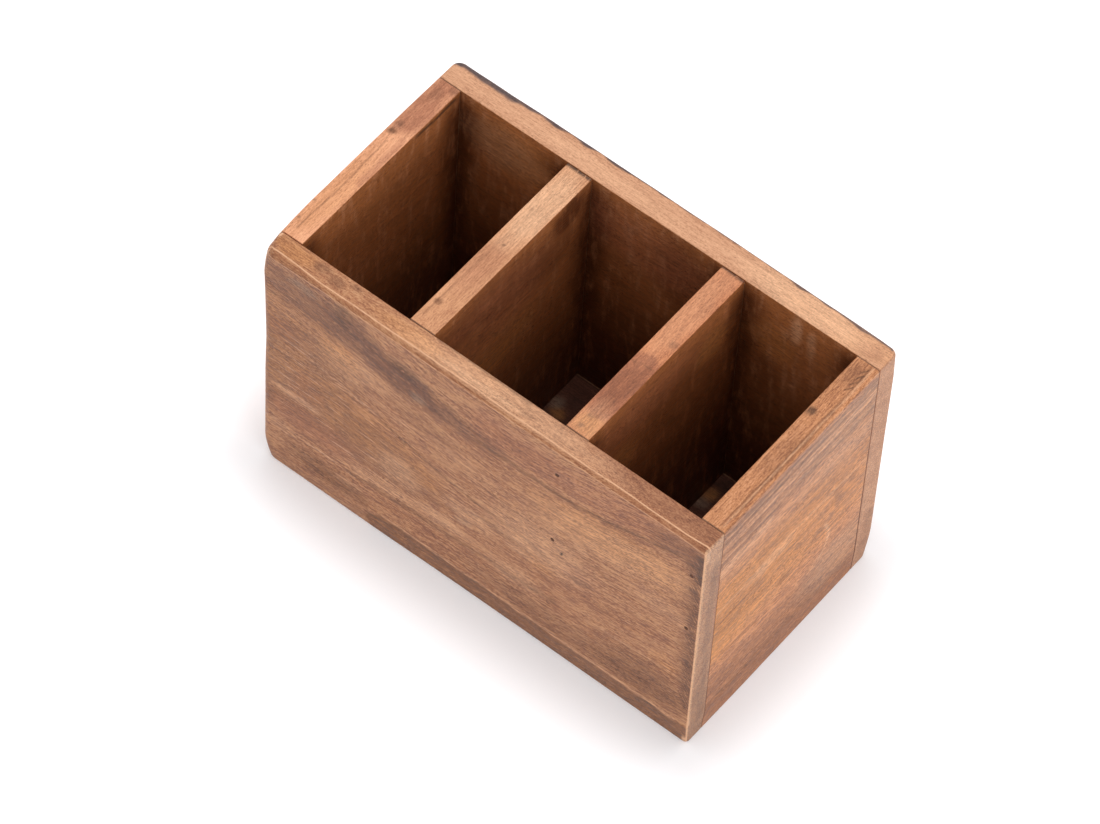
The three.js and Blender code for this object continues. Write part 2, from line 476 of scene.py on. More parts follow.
def empty_tree(owner: Material | bpy.types.World) -> Tree:
    """Gives a material or a world an empty node tree.

    Args:
        owner: The material or the world.

    Returns:
        The tree.
    """
    owner.use_nodes = True
    owner.node_tree.nodes.clear()
    return owner.node_tree


TINTS = {
    Tint.INSIDE: "#a8683c",
    # The painted shade of the compartment walls.
    Tint.DEEP: "#522812",
    Tint.ORANGE: "#c6844b",
    Tint.RUDDY: "#9c5e44",
    Tint.STREAK: "#734935",
    Tint.FIGURE: "#7c5036",
    Tint.PALE: "#e1ae88",
    Tint.DUST: "#a38873",
    Tint.SCRATCH: "#6f4835",
    # Pale fibres, in part painted glints.
    Tint.BRIGHT: "#dcae8e",
    Tint.GRIME: "#3a281e",
    Tint.SOOT: "#5d4b49",
}


@dataclass(frozen=True)
class Strands:
    """Noise drawn out along the grain: how long and how wide its features are, how many finer layers it has, and
    how strong those are."""

    length: float
    width: float
    detail: float = 3.0
    roughness: float = 0.65


@dataclass(frozen=True)
class Hardwood:
    """Oiled hardwood of the teak kind, sawn and sanded: open pores show as short dark dashes, fibres as fine
    streaks, and growth layers as soft bands. Sizes are in millimetres."""

    name: str
    pale: str
    middle: str
    deep: str
    pore: str = "#876552"
    # Real fibres are 0.03 mm wide and real vessel lines 0.1 to 0.2 mm, less than a pixel of the render. Fibres,
    # dashes, specks, pores and scratches are drawn 0.3 to 0.6 mm wide, the finest that shows.
    fibres: Strands = Strands(5.0, 0.42, 1.0, 0.5)
    streaks: Strands = Strands(26.0, 1.7, 3.0, 0.6)
    dashes: Strands = Strands(1.1, 0.34, 0.0, 0.5)
    specks: Strands = Strands(0.42, 0.42, 0.0, 0.5)
    mottle: Strands = Strands(22.0, 8.0, 4.0, 0.6)
    blotches: Strands = Strands(3.6, 1.3, 5.0, 0.75)
    swing: Strands = Strands(55.0, 24.0, 2.0, 0.45)
    pores: Strands = Strands(1.7, 0.5)
    crowds: Strands = Strands(20.0, 6.0, 2.0, 0.5)
    runs: Strands = Strands(11.0, 2.6, 5.0, 0.7)
    strokes: Strands = Strands(4.0, 0.5)
    bright: Strands = Strands(11.0, 0.6, 1.0, 0.5)
    layer_spacing: float = 5.0
    pith: tuple[float, float] = (70.0, -45.0)
    ring_weight: float = 0.5
    mottle_weight: float = 0.55
    streak_weight: float = 0.75
    fibre_weight: float = 0.56
    dash_weight: float = 1.2
    fibre_edge: float = 0.1
    top_grain: float = 0.5
    pore_share: float = 0.6
    stroke_lean: float = 55.0
    slant: float = 0.0
    wander: float = 1.2
    contrast: float = 1.0
    stain_contrast: float = 0.34
    # How far the stain inside and the painted shade on the walls follow the wood's light and dark.
    inside_and_shade_contrast: float = 0.2
    roughness: float = 0.5
    fibre_roughness: float = 0.16
    # Oiled wood has an index of about 1.5. This lower one gives the weak shine of the worn box.
    gloss: float = 1.34
    relief: float = 0.07
    rim_line: float = 0.0
    rim_shade: float = 0.0
    corner_line: float = 0.0
    offset: tuple[float, float, float] = (0.0, 0.0, 0.0)

    def material(self, grain: Grain) -> Material:
        """Makes the finish for a board.

        Args:
            grain: Which way the board's grain runs.

        Returns:
            The material.
        """
        material, tree = new_material(self.name)
        WoodNodes(self, tree, grain).build()
        return material


class WoodNodes:
    """The nodes of one board's wood."""

    # A surface counts as upright while its normal rises less than the first of these, and as lying above the other.
    UPRIGHT, LYING = 0.3, 0.8
    # How hard the blotches break up a tint that has no gain of its own, and the worn edges.
    BLOTCH_GAIN, WEAR_GAIN = 4.0, 3.0

    def __init__(self, wood: Hardwood, tree: Tree, grain: Grain) -> None:
        """Lays out the patterns that all parts of the finish share.

        Args:
            wood: The finish.
            tree: The node tree of its material.
            grain: Which way the board's grain runs.
        """
        self.wood = wood
        self.add = partial(add, tree)
        self.place = self.add("ShaderNodeTexCoord").outputs["Object"]
        self.space = self.grain_space(grain)
        self.fibre = self.add("ShaderNodeMapRange", SMOOTHLY, {
            "Value": self.strands(wood.fibres),
            "From Min": 0.5 - wood.fibre_edge, "From Max": 0.5 + wood.fibre_edge,
        })
        self.blotches = self.strands(wood.blotches)
        # All of the open grain shows on the sides, and less on the tops, which hands have worn smooth.
        normal = self.add("ShaderNodeSeparateXYZ", {}, {0: self.add("ShaderNodeTexCoord").outputs["Normal"]})
        self.openness = self.add("ShaderNodeMapRange", SMOOTHLY, {
            "Value": normal.outputs["Z"], "From Min": self.UPRIGHT, "From Max": self.LYING,
            "To Min": 1.0, "To Max": wood.top_grain,
        })
        self.pore = self.open_pores()

    def build(self) -> None:
        """Lays the discolorations, the wear and the pores over the bare colour, and ends the tree."""
        wood, tone = self.wood, self.tone()
        colour = self.add("ShaderNodeValToRGB", {}, {"Fac": tone}, [
            (0.0, wood.deep), (0.5, wood.middle), (1.0, wood.pale),
        ])
        colour = self.worn(self.tinted(colour, tone))
        self.surface(self.add("ShaderNodeMix", {"data_type": "RGBA", "blend_type": "MULTIPLY"}, {
            0: self.pore, 6: colour, 7: linear(wood.pore),
        }))

    def grain_space(self, grain: Grain) -> Node:
        """Coordinates in millimetres with the grain along X, bent by the board's flow and wandering as it grew.

        Args:
            grain: Which way the board's grain runs.

        Returns:
            The node that gives them.
        """
        wood = self.wood
        slant = (0.0, wood.slant) if grain is Grain.ALONG_BOX else (wood.slant, 0.0)
        laid = self.add("ShaderNodeMapping", {}, {
            "Vector": self.place, "Location": wood.offset, "Rotation": (*slant, grain.value), "Scale": (METRE,) * 3,
        })
        swing = self.add("ShaderNodeVectorMath", {"operation": "MULTIPLY_ADD"}, {
            0: self.strands(wood.swing, laid).outputs["Color"], 1: (0.0, 2 * wood.wander, 2 * wood.wander),
            2: (0.0, -wood.wander, -wood.wander),
        })
        flow = self.add("ShaderNodeCombineXYZ", {}, {
            "Z": self.add("ShaderNodeAttribute", {"attribute_name": "flow"}).outputs["Fac"],
        })
        bent = self.add("ShaderNodeVectorMath", {"operation": "SUBTRACT"}, {0: laid, 1: flow})
        return self.add("ShaderNodeVectorMath", {"operation": "ADD"}, {0: bent, 1: swing})

    def drawn(self, size: Strands, space: Node | None = None) -> Node:
        """Draws out the grain's or other coordinates, so that one unit is as long and wide as the strands.

        Args:
            size: The strands.
            space: The node of the other coordinates.

        Returns:
            The node that gives the coordinates.
        """
        scale = (1 / size.length, 1 / size.width, 1 / size.width)
        return self.add("ShaderNodeVectorMath", {"operation": "MULTIPLY"}, {
            0: self.space if space is None else space, 1: scale,
        })

    def strands(self, size: Strands, space: Node | None = None) -> Node:
        """Noise drawn out along the grain, or along X in other coordinates."""
        return self.add("ShaderNodeTexNoise", {}, {
            "Vector": self.drawn(size, space), "Scale": 1.0, "Detail": size.detail, "Roughness": size.roughness,
        })

    def open_pores(self) -> Node:
        """Where an open pore shows, from 0 to 1. The pores stand in crowds.

        Returns:
            The node that gives it.
        """
        share = self.wood.pore_share
        cells = self.add("ShaderNodeTexVoronoi", {}, {"Vector": self.drawn(self.wood.pores), "Scale": 1.0})
        dash = self.add("ShaderNodeMapRange", SMOOTHLY, {
            "Value": cells.outputs["Distance"], "From Min": 0.36, "From Max": 0.1,
        })
        crowd = self.add("ShaderNodeMapRange", {}, {
            "Value": self.strands(self.wood.crowds), "From Min": 0.35, "From Max": 0.65,
            "To Min": 0.2 * share, "To Max": 1.6 * share,
        })
        shown = self.add("ShaderNodeMath", {"operation": "MULTIPLY"}, {0: crowd, 1: self.openness})
        return self.add("ShaderNodeMath", CLAMPED_PRODUCT, {0: dash, 1: shown})

    def tone(self) -> Node:
        """How light the bare wood is, from 0 to 1: growth layers, slow mottling, streaks, fibres and dashes.

        Returns:
            The node that gives it.
        """
        wood = self.wood
        flat = self.add("ShaderNodeVectorMath", {"operation": "MULTIPLY"}, {0: self.space, 1: (0.0, 1.0, 1.0)})
        from_pith = self.add("ShaderNodeVectorMath", {"operation": "DISTANCE"}, {0: flat, 1: (0.0, *wood.pith)})
        layer = self.add("ShaderNodeMath", {"operation": "MULTIPLY"}, {
            0: from_pith.outputs["Value"], 1: 1 / wood.layer_spacing,
        })
        rings = self.add("ShaderNodeTexNoise", {"noise_dimensions": "1D"}, {
            "W": layer, "Scale": 1.0, "Detail": 3.0, "Roughness": 0.6,
        })
        dashes, specks = self.strands(wood.dashes), self.strands(wood.specks)
        parts = (
            (rings, wood.ring_weight),
            (self.strands(wood.mottle), wood.mottle_weight),
            (self.strands(wood.streaks), wood.streak_weight),
            (self.add("ShaderNodeMix", {}, {0: self.openness, 2: 0.5, 3: self.fibre}), wood.fibre_weight),
            (self.add("ShaderNodeMix", {}, {0: self.openness, 2: specks, 3: dashes}), wood.dash_weight),
        )
        tone: float | Node = 0.5 - 0.5 * wood.contrast * sum(weight for _, weight in parts)
        for part, weight in parts:
            tone = self.add("ShaderNodeMath", {"operation": "MULTIPLY_ADD"}, {
                0: part, 1: weight * wood.contrast, 2: tone,
            })
        return tone

    def laid_over(self, colour: Node, shade: object, mask: object, texture: Node, gain: float) -> Node:
        """Lays a shade over a colour, broken up by a texture about the texture's middle.

        Args:
            colour: The colour.
            shade: The shade, as a colour or a node.
            mask: How strong it is, as a socket or a node.
            texture: What breaks it up.
            gain: How hard it is broken up.

        Returns:
            The node that gives the new colour.
        """
        ragged = self.add("ShaderNodeMath", CLAMPED_LINE, {0: texture, 1: gain, 2: 1.0 - 0.5 * gain})
        amount = self.add("ShaderNodeMath", CLAMPED_PRODUCT, {0: mask, 1: ragged})
        return self.add("ShaderNodeMix", {"data_type": "RGBA"}, {0: amount, 6: colour, 7: shade})

    def tinted(self, colour: Node, tone: Node) -> Node:
        """Lays each discoloration, and the painted shade and highlights among them, over the bare colour. It follows
        the wood's light and dark, and is broken up in blotches, in downward runs, in single fibres, or along the
        strokes that made it.

        Args:
            colour: The bare colour.
            tone: How light the bare wood is.

        Returns:
            The node that gives the colour.
        """
        wood, blotches = self.wood, self.blotches
        shadings = {
            depth: self.add("ShaderNodeMapRange", {}, {"Value": tone, "To Min": 1 - depth, "To Max": 1 + depth})
            for depth in (wood.stain_contrast, wood.inside_and_shade_contrast)
        }
        leaning, upright = (
            self.add("ShaderNodeMapping", {}, {
                "Vector": self.place, "Rotation": (0.0, turn, 0.0), "Scale": (METRE,) * 3,
            }) for turn in (-math.radians(wood.stroke_lean), math.pi / 2)
        )
        strokes, runs = self.strands(wood.strokes, leaning), self.strands(wood.runs, upright)
        # Of the bright fibres, which are pale fibres and painted glints, only the strongest show, and between them the
        # noise is cut off.
        fibres = self.add("ShaderNodeMapRange", {}, {
            "Value": self.strands(wood.bright), "From Min": 0.62, "From Max": 0.7, "To Min": -0.5, "To Max": 0.5,
        })
        # What breaks up each tint, and how hard.
        textures = {
            Tint.SCRATCH: (strokes, 9.0), Tint.BRIGHT: (fibres, 1.0), Tint.INSIDE: (runs, 1.8),
            Tint.DEEP: (runs, 2.6), Tint.ORANGE: (blotches, 1.6), Tint.RUDDY: (blotches, 1.6),
            Tint.PALE: (blotches, 2.0), Tint.SOOT: (blotches, 1.0),
        }
        for tint, shade in TINTS.items():
            mask = self.add("ShaderNodeAttribute", {"attribute_name": tint.value}).outputs["Fac"]
            # The stain inside and the painted shade on the walls follow the wood's light and dark less.
            inside_or_shade = tint in (Tint.INSIDE, Tint.DEEP)
            shaded = self.add("ShaderNodeVectorMath", {"operation": "SCALE"}, {
                0: linear(shade)[:3], "Scale": shadings[wood.inside_and_shade_contrast if inside_or_shade else wood.stain_contrast],
            })
            colour = self.laid_over(colour, shaded, mask, *textures.get(tint, (blotches, self.BLOTCH_GAIN)))
        return colour

    def worn(self, colour: Node) -> Node:
        """Darkens the rim's arris by handling, and lightens its two edges and the upright corner: pale wood rubbed
        bare, and painted highlight.

        Args:
            colour: The colour of the unworn wood.

        Returns:
            The node that gives the worn colour.
        """
        wood, rubbed_and_lit, handled = self.wood, linear(TINTS[Tint.PALE]), linear(TINTS[Tint.FIGURE])
        for name, middle, half, strength, shade in (
            # The attribute, the middle of the band in it, its half width, and how strong and what colour it is.
            ("rim", 0.0, 0.95, wood.rim_shade, handled),
            # The pale lines at the two edges of the rim and on the corner are rubbed wood and painted highlight.
            ("rim", -1.1, 0.28, wood.rim_line, rubbed_and_lit),
            ("rim", 1.0, 0.24, 0.6 * wood.rim_line, rubbed_and_lit),
            ("corner", 0.0, 0.45, wood.corner_line, rubbed_and_lit),
        ):
            if not strength:
                continue
            away = self.add("ShaderNodeMath", {"operation": "SUBTRACT"}, {
                0: self.add("ShaderNodeAttribute", {"attribute_name": name}).outputs["Fac"], 1: middle,
            })
            distance = self.add("ShaderNodeMath", {"operation": "ABSOLUTE"}, {0: away})
            band = self.add("ShaderNodeMapRange", SMOOTHLY, {
                "Value": distance, "From Min": half, "From Max": 0.4 * half, "To Max": strength,
            })
            colour = self.laid_over(colour, shade, band, self.blotches, self.WEAR_GAIN)
        return colour

    def surface(self, colour: Node) -> None:
        """Makes the satin surface, with fibres raised and pores sunk by the relief, and ends the tree.

        Args:
            colour: The finished colour.
        """
        wood = self.wood
        height = self.add("ShaderNodeMath", {"operation": "MULTIPLY_ADD"}, {0: self.pore, 1: -1.0, 2: self.fibre})
        bump = self.add("ShaderNodeBump", {}, {"Strength": 0.7, "Distance": wood.relief / METRE, "Height": height})
        rough = self.add("ShaderNodeMath", {"operation": "MULTIPLY_ADD"}, {
            0: self.fibre, 1: wood.fibre_roughness, 2: wood.roughness - wood.fibre_roughness / 2,
        })
        surface = self.add("ShaderNodeBsdfPrincipled", {}, {
            "Base Color": colour, "Roughness": rough, "IOR": wood.gloss, "Normal": bump,
        })
        self.add("ShaderNodeOutputMaterial", {}, {"Surface": surface})


@dataclass(frozen=True)
class PlainFinish:
    """The finish of a small piece: a base colour that darkens in patches, its metalness and its roughness."""

    name: str
    colour: str
    patches: str
    patch_size: float
    metallic: float = 0.0
    roughness: float = 0.5

    def material(self) -> Material:
        """Makes the finish.

        Returns:
            The material.
        """
        material, tree = new_material(self.name)
        patches = add(tree, "ShaderNodeTexNoise", {}, {
            "Vector": add(tree, "ShaderNodeTexCoord").outputs["Object"], "Scale": METRE / self.patch_size,
            "Detail": 4.0, "Roughness": 0.6,
        })
        colour = add(tree, "ShaderNodeValToRGB", {}, {"Fac": patches}, [(0.35, self.patches), (0.6, self.colour)])
        bump = add(tree, "ShaderNodeBump", {}, {
            "Strength": 0.5, "Distance": 0.05 * self.patch_size / METRE, "Height": patches,
        })
        surface = add(tree, "ShaderNodeBsdfPrincipled", {}, {
            "Base Color": colour, "Metallic": self.metallic, "Roughness": self.roughness, "Normal": bump,
        })
        add(tree, "ShaderNodeOutputMaterial", {}, {"Surface": surface})
        return material


# Each board is an open-pored brown hardwood, sawn, sanded by hand, oiled and long handled. All give the eye a soft
# satin that never mirrors, short dark pores and fine fibres along the grain, and faint bands of growth.
# The front gives a brown face with a grey cast and strong grain, and pale lines along its arrises: rubbed wood and
# painted highlight.
FRONT_WOOD = Hardwood("brown_oiled_hardwood", "#cb976f", "#b37a56", "#8a553b", slant=0.03, contrast=1.2,
                      rim_line=1.0, rim_shade=0.25, corner_line=1.0)
# The back gives a light tan rim, plain and even, against its sooty outer edge.
BACK_WOOD = Hardwood("tan_oiled_hardwood", "#e6b08a", "#d49d79", "#b27b5a", offset=(300, 90, 40))
# The left end gives the lightest and pinkest rim, worn almost smooth.
LEFT_END_WOOD = Hardwood("light_orange_oiled_hardwood", "#f8b98e", "#e8a57d", "#c6875f", offset=(90, 300, 20))
# The right end gives a warm orange face with long straight streaks, close together and well marked.
RIGHT_END_WOOD = Hardwood("orange_oiled_hardwood", "#dc9c72", "#c4855a", "#985f40", offset=(190, 40, 220),
                          streaks=Strands(44.0, 0.8, 3.0, 0.6), slant=0.03, contrast=1.2)
# The left divider gives a tan rim that is ruddy at the front and pale at the back.
LEFT_DIVIDER_WOOD = Hardwood("ruddy_tan_oiled_hardwood", "#e6a981", "#d2976e", "#af7352", offset=(20, 140, 310))
# The right divider gives the reddest rim, with a dark brown patch near the front.
RIGHT_DIVIDER_WOOD = Hardwood("ruddy_oiled_hardwood", "#e49a6f", "#cd865d", "#a46444", offset=(410, 40, 120))
# The bottom panel gives a dull dark floor: bare wood that was never oiled, with dust in its grain.
BOTTOM_WOOD = Hardwood("dusty_plain_hardwood", "#754b39", "#63392b", "#4c2a1d", offset=(10, 510, 60),
                       roughness=0.7)
# Dried animal glue gives a thin brown line in each joint, a little smoother than the wood.
GLUE = PlainFinish("dried_brown_glue", "#946a4e", "#6b452e", 6.0, roughness=0.55)
# Drawn steel wire gives a dull grey pin, browned where damp wood has touched it.
STEEL = PlainFinish("darkened_drawn_steel", "#6b625a", "#4a3d36", 0.9, metallic=1.0, roughness=0.45)
# Wood-coloured stopping gives a flat matt spot, a shade off the board round it.
STOPPING = PlainFinish("wood_coloured_stopping", "#a8755a", "#8d5f4a", 1.2, roughness=0.7)
# Dark filling wax gives the small near-black dots over the pins that show on the front. They are also painted shade,
# put where the holes stand open.
WAX_AND_HOLE_SHADE = PlainFinish("dark_filling_wax", "#663a26", "#42220f", 0.8, roughness=0.8)


def grid_lines(low: float, high: float, step: float, edges: tuple[float, float], fine: float) -> Array:
    """Places along one axis of a block, closer together near its ends.

    Args:
        low: The lower end.
        high: The upper end.
        step: The spacing between the ends.
        edges: How far the close spacing reaches in from the lower and the upper end.
        fine: The close spacing.

    Returns:
        The places, from low to high.
    """
    first, last = low + edges[0], high - edges[1]
    parts = [
        np.linspace(low, first, max(round(edges[0] / fine), 1), endpoint=False),
        np.linspace(first, last, max(round((last - first) / step), 1), endpoint=False),
        np.linspace(last, high, max(round(edges[1] / fine), 1) + 1),
    ]
    return np.concatenate(parts)


@dataclass(frozen=True)
class Hole:
    """A drilled hole, square to one side of a board: its middle on that side, its radius, and its depth, which
    is None where it goes right through."""

    side: Side
    at: tuple[float, float]
    radius: float
    depth: float | None = None


class Blank:
    """The closed, gridded surface of a square-edged board, with its holes, before anything is rounded."""

    CRUSH = 0.08
    MARGIN = 0.25

    def __init__(self, lines: tuple[Array, Array, Array], holes: Iterable[Hole] = ()) -> None:
        """Lays the grid.

        Args:
            lines: The places of the grid lines along each axis.
            holes: The holes to leave open.
        """
        shape = tuple(len(line) for line in lines)
        on_skin = np.ones(shape, bool)
        on_skin[1:-1, 1:-1, 1:-1] = False
        self.number = np.full(shape, -1)
        self.number[on_skin] = np.arange(on_skin.sum())
        where = np.argwhere(on_skin)
        self.lines = lines
        self.points = [tuple(p) for p in np.stack([lines[a][where[:, a]] for a in range(3)], axis=1)]
        self.faces: list[tuple[int, ...]] = []
        self.bore_points: set[int] = set()
        windows: dict[Side, list[tuple[slice, slice]]] = {side: [] for side in Side}
        for hole in holes:
            self._drill(hole, windows)
        for side in Side:
            self._cover(side, windows[side])

    def _skin(self, side: Side) -> Array:
        """The point numbers of one side, as a grid along its two axes."""
        return np.take(self.number, 0 if side.sign < 0 else -1, axis=side.axis)

    def _cover(self, side: Side, windows: list[tuple[slice, slice]]) -> None:
        """Lays the faces of one side, except in the windows of its holes.

        Args:
            side: The side.
            windows: The cells that stay open.
        """
        skin = self._skin(side)
        open_cells = np.zeros((skin.shape[0] - 1, skin.shape[1] - 1), bool)
        for window in windows:
            open_cells[window] = True
        cells = np.stack([skin[:-1, :-1], skin[1:, :-1], skin[1:, 1:], skin[:-1, 1:]], axis=-1)
        self.faces += [tuple(face) for face in cells[~open_cells].tolist()]

    def _window(self, side: Side, hole: Hole) -> tuple[tuple[slice, slice], list[int]]:
        """Finds room for a hole on one side.

        Args:
            side: The side.
            hole: The hole.

        Returns:
            The cells round the hole, and the loop of points about them.
        """
        clear = hole.radius + self.CRUSH + self.MARGIN
        spans = []
        for axis, middle in zip(side.across, hole.at):
            low = int(np.searchsorted(self.lines[axis], middle - clear)) - 1
            spans.append((low, int(np.searchsorted(self.lines[axis], middle + clear))))
        (left, right), (low, high) = spans
        loop = [(step, low) for step in range(left, right)]
        loop += [(right, step) for step in range(low, high)]
        loop += [(step, high) for step in range(right, left, -1)]
        loop += [(left, step) for step in range(high, low, -1)]
        skin = self._skin(side)
        return (slice(left, right), slice(low, high)), [int(skin[place]) for place in loop]

    def _ring(self, side: Side, hole: Hole, loop: list[int], radius: float, sunk: float) -> list[int]:
        """Adds a ring of points about a hole's middle, in line with the loop of its window.

        Args:
            side: The side that the ring is seen from.
            hole: The hole.
            loop: The points of the window.
            radius: The ring's radius.
            sunk: How deep under the side it lies.

        Returns:
            The ring's point numbers.
        """
        face = self.lines[side.axis][0 if side.sign < 0 else -1]
        numbers = []
        for number in loop:
            spoke = np.array([self.points[number][axis] for axis in side.across]) - hole.at
            place = np.empty(3)
            place[list(side.across)] = hole.at + spoke * radius / np.hypot(*spoke)
            place[side.axis] = face - side.sign * sunk
            numbers.append(len(self.points))
            self.points.append(tuple(place))
        return numbers

    def _join(self, outer: list[int], inner: list[int]) -> None:
        """Lays a band of faces between two rings."""
        pairs = zip(outer, outer[1:] + outer[:1], inner[1:] + inner[:1], inner)
        self.faces += [tuple(face) for face in pairs]

    def _drill(self, hole: Hole, windows: dict[Side, list[tuple[slice, slice]]]) -> None:
        """Opens one hole, with its mouth a little crushed by the punch.

        Args:
            hole: The hole.
            windows: The open cells of each side, which the hole adds to.
        """
        walls = []
        for side in (hole.side, hole.side.opposite) if hole.depth is None else (hole.side,):
            window, loop = self._window(side, hole)
            windows[side].append(window)
            lip = self._ring(side, hole, loop, hole.radius + self.CRUSH, 0.0)
            wall = self._ring(side, hole, loop, hole.radius, self.CRUSH)
            self._join(loop, lip)
            self._join(lip, wall)
            self.bore_points.update(wall)
            walls.append(wall)
        if hole.depth is None:
            self._join(*walls)
        else:
            foot = self._ring(hole.side, hole, loop, hole.radius, hole.depth)
            self.bore_points.update(foot)
            self._join(walls[0], foot)
            self.faces.append(tuple(foot))


def face_of(box: Box, side: Side) -> float:
    """Where a side of a block lies along the axis that it is square to."""
    return box[side.sign > 0][side.axis]


def lies_on(points: Array, box: Box, side: Side) -> Array:
    """Which points of a square block lie on one of its sides."""
    return np.abs(points[:, side.axis] - face_of(box, side)) < ON_SIDE


def ease_edge(points: Array, box: Box, first: Side, second: Side, radius: float) -> None:
    """Rounds one edge of a block, in place.

    Args:
        points: Places in and on the block, one row each.
        box: The block's lowest and highest corners.
        first: One side at the edge.
        second: The other side.
        radius: The radius of the edge.
    """
    reach = []
    for side in (first, second):
        reach.append(radius - side.sign * (face_of(box, side) - points[:, side.axis]))
    turning = (reach[0] > 0) & (reach[1] > 0)
    keep = np.maximum(*reach) / np.maximum(np.hypot(*reach), TINY)
    for side, depth in zip((first, second), reach):
        points[:, side.axis] -= side.sign * np.where(turning, depth * (1 - keep), 0)


def put_in_scene(name: str, data: bpy.types.ID) -> Piece:
    """Makes an object and puts it in the scene.

    Args:
        name: The object's name.
        data: Its mesh, camera or lamp.

    Returns:
        The object, at the origin.
    """
    made = bpy.data.objects.new(name, data)
    bpy.context.scene.collection.objects.link(made)
    return made


def make_object(name: str, points: Array, faces: Sequence[Sequence[int]]) -> Piece:
    """Makes a smooth closed mesh object, with its faces outwards and its place in its mesh.

    Args:
        name: The piece's name.
        points: Its points in millimetres.
        faces: The point numbers of each face.

    Returns:
        The object, at the origin.
    """
    mesh = bpy.data.meshes.new(name)
    mesh.from_pydata((points / METRE).tolist(), [], faces)
    solid = bmesh.new()
    solid.from_mesh(mesh)
    bmesh.ops.recalc_face_normals(solid, faces=solid.faces)
    solid.to_mesh(mesh)
    solid.free()
    mesh.shade_smooth()
    return put_in_scene(name, mesh)


def set_attribute(piece: Piece, name: str, values: Array) -> None:
    """Stores one number for each point of a piece."""
    attribute = piece.data.attributes.new(name, "FLOAT", "POINT")
    attribute.data.foreach_set("value", values.astype(np.float32))


def declare(piece: Piece, nodes: Sequence[str]) -> None:
    """Ties a finished piece to the frame.

    Args:
        piece: The piece.
        nodes: The CAD nodes that it stands for.
    """
    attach(piece, BODY)
    if nodes:
        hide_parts(*nodes)
    triangles = sum(len(polygon.vertices) - 2 for polygon in piece.data.polygons)
    log.info("%s: %d triangles, for %s", piece.name, triangles, ", ".join(nodes) or "no node")


def node_box(node: str) -> Box:
    """A CAD node's lowest and highest corners, in millimetres."""
    low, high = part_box(node)
    return np.array(low) * METRE, np.array(high) * METRE


def box_sizes() -> Box:
    """The whole CAD box's lowest and highest corners, in millimetres."""
    low, high = cad_box
    return np.array(low) * METRE, np.array(high) * METRE


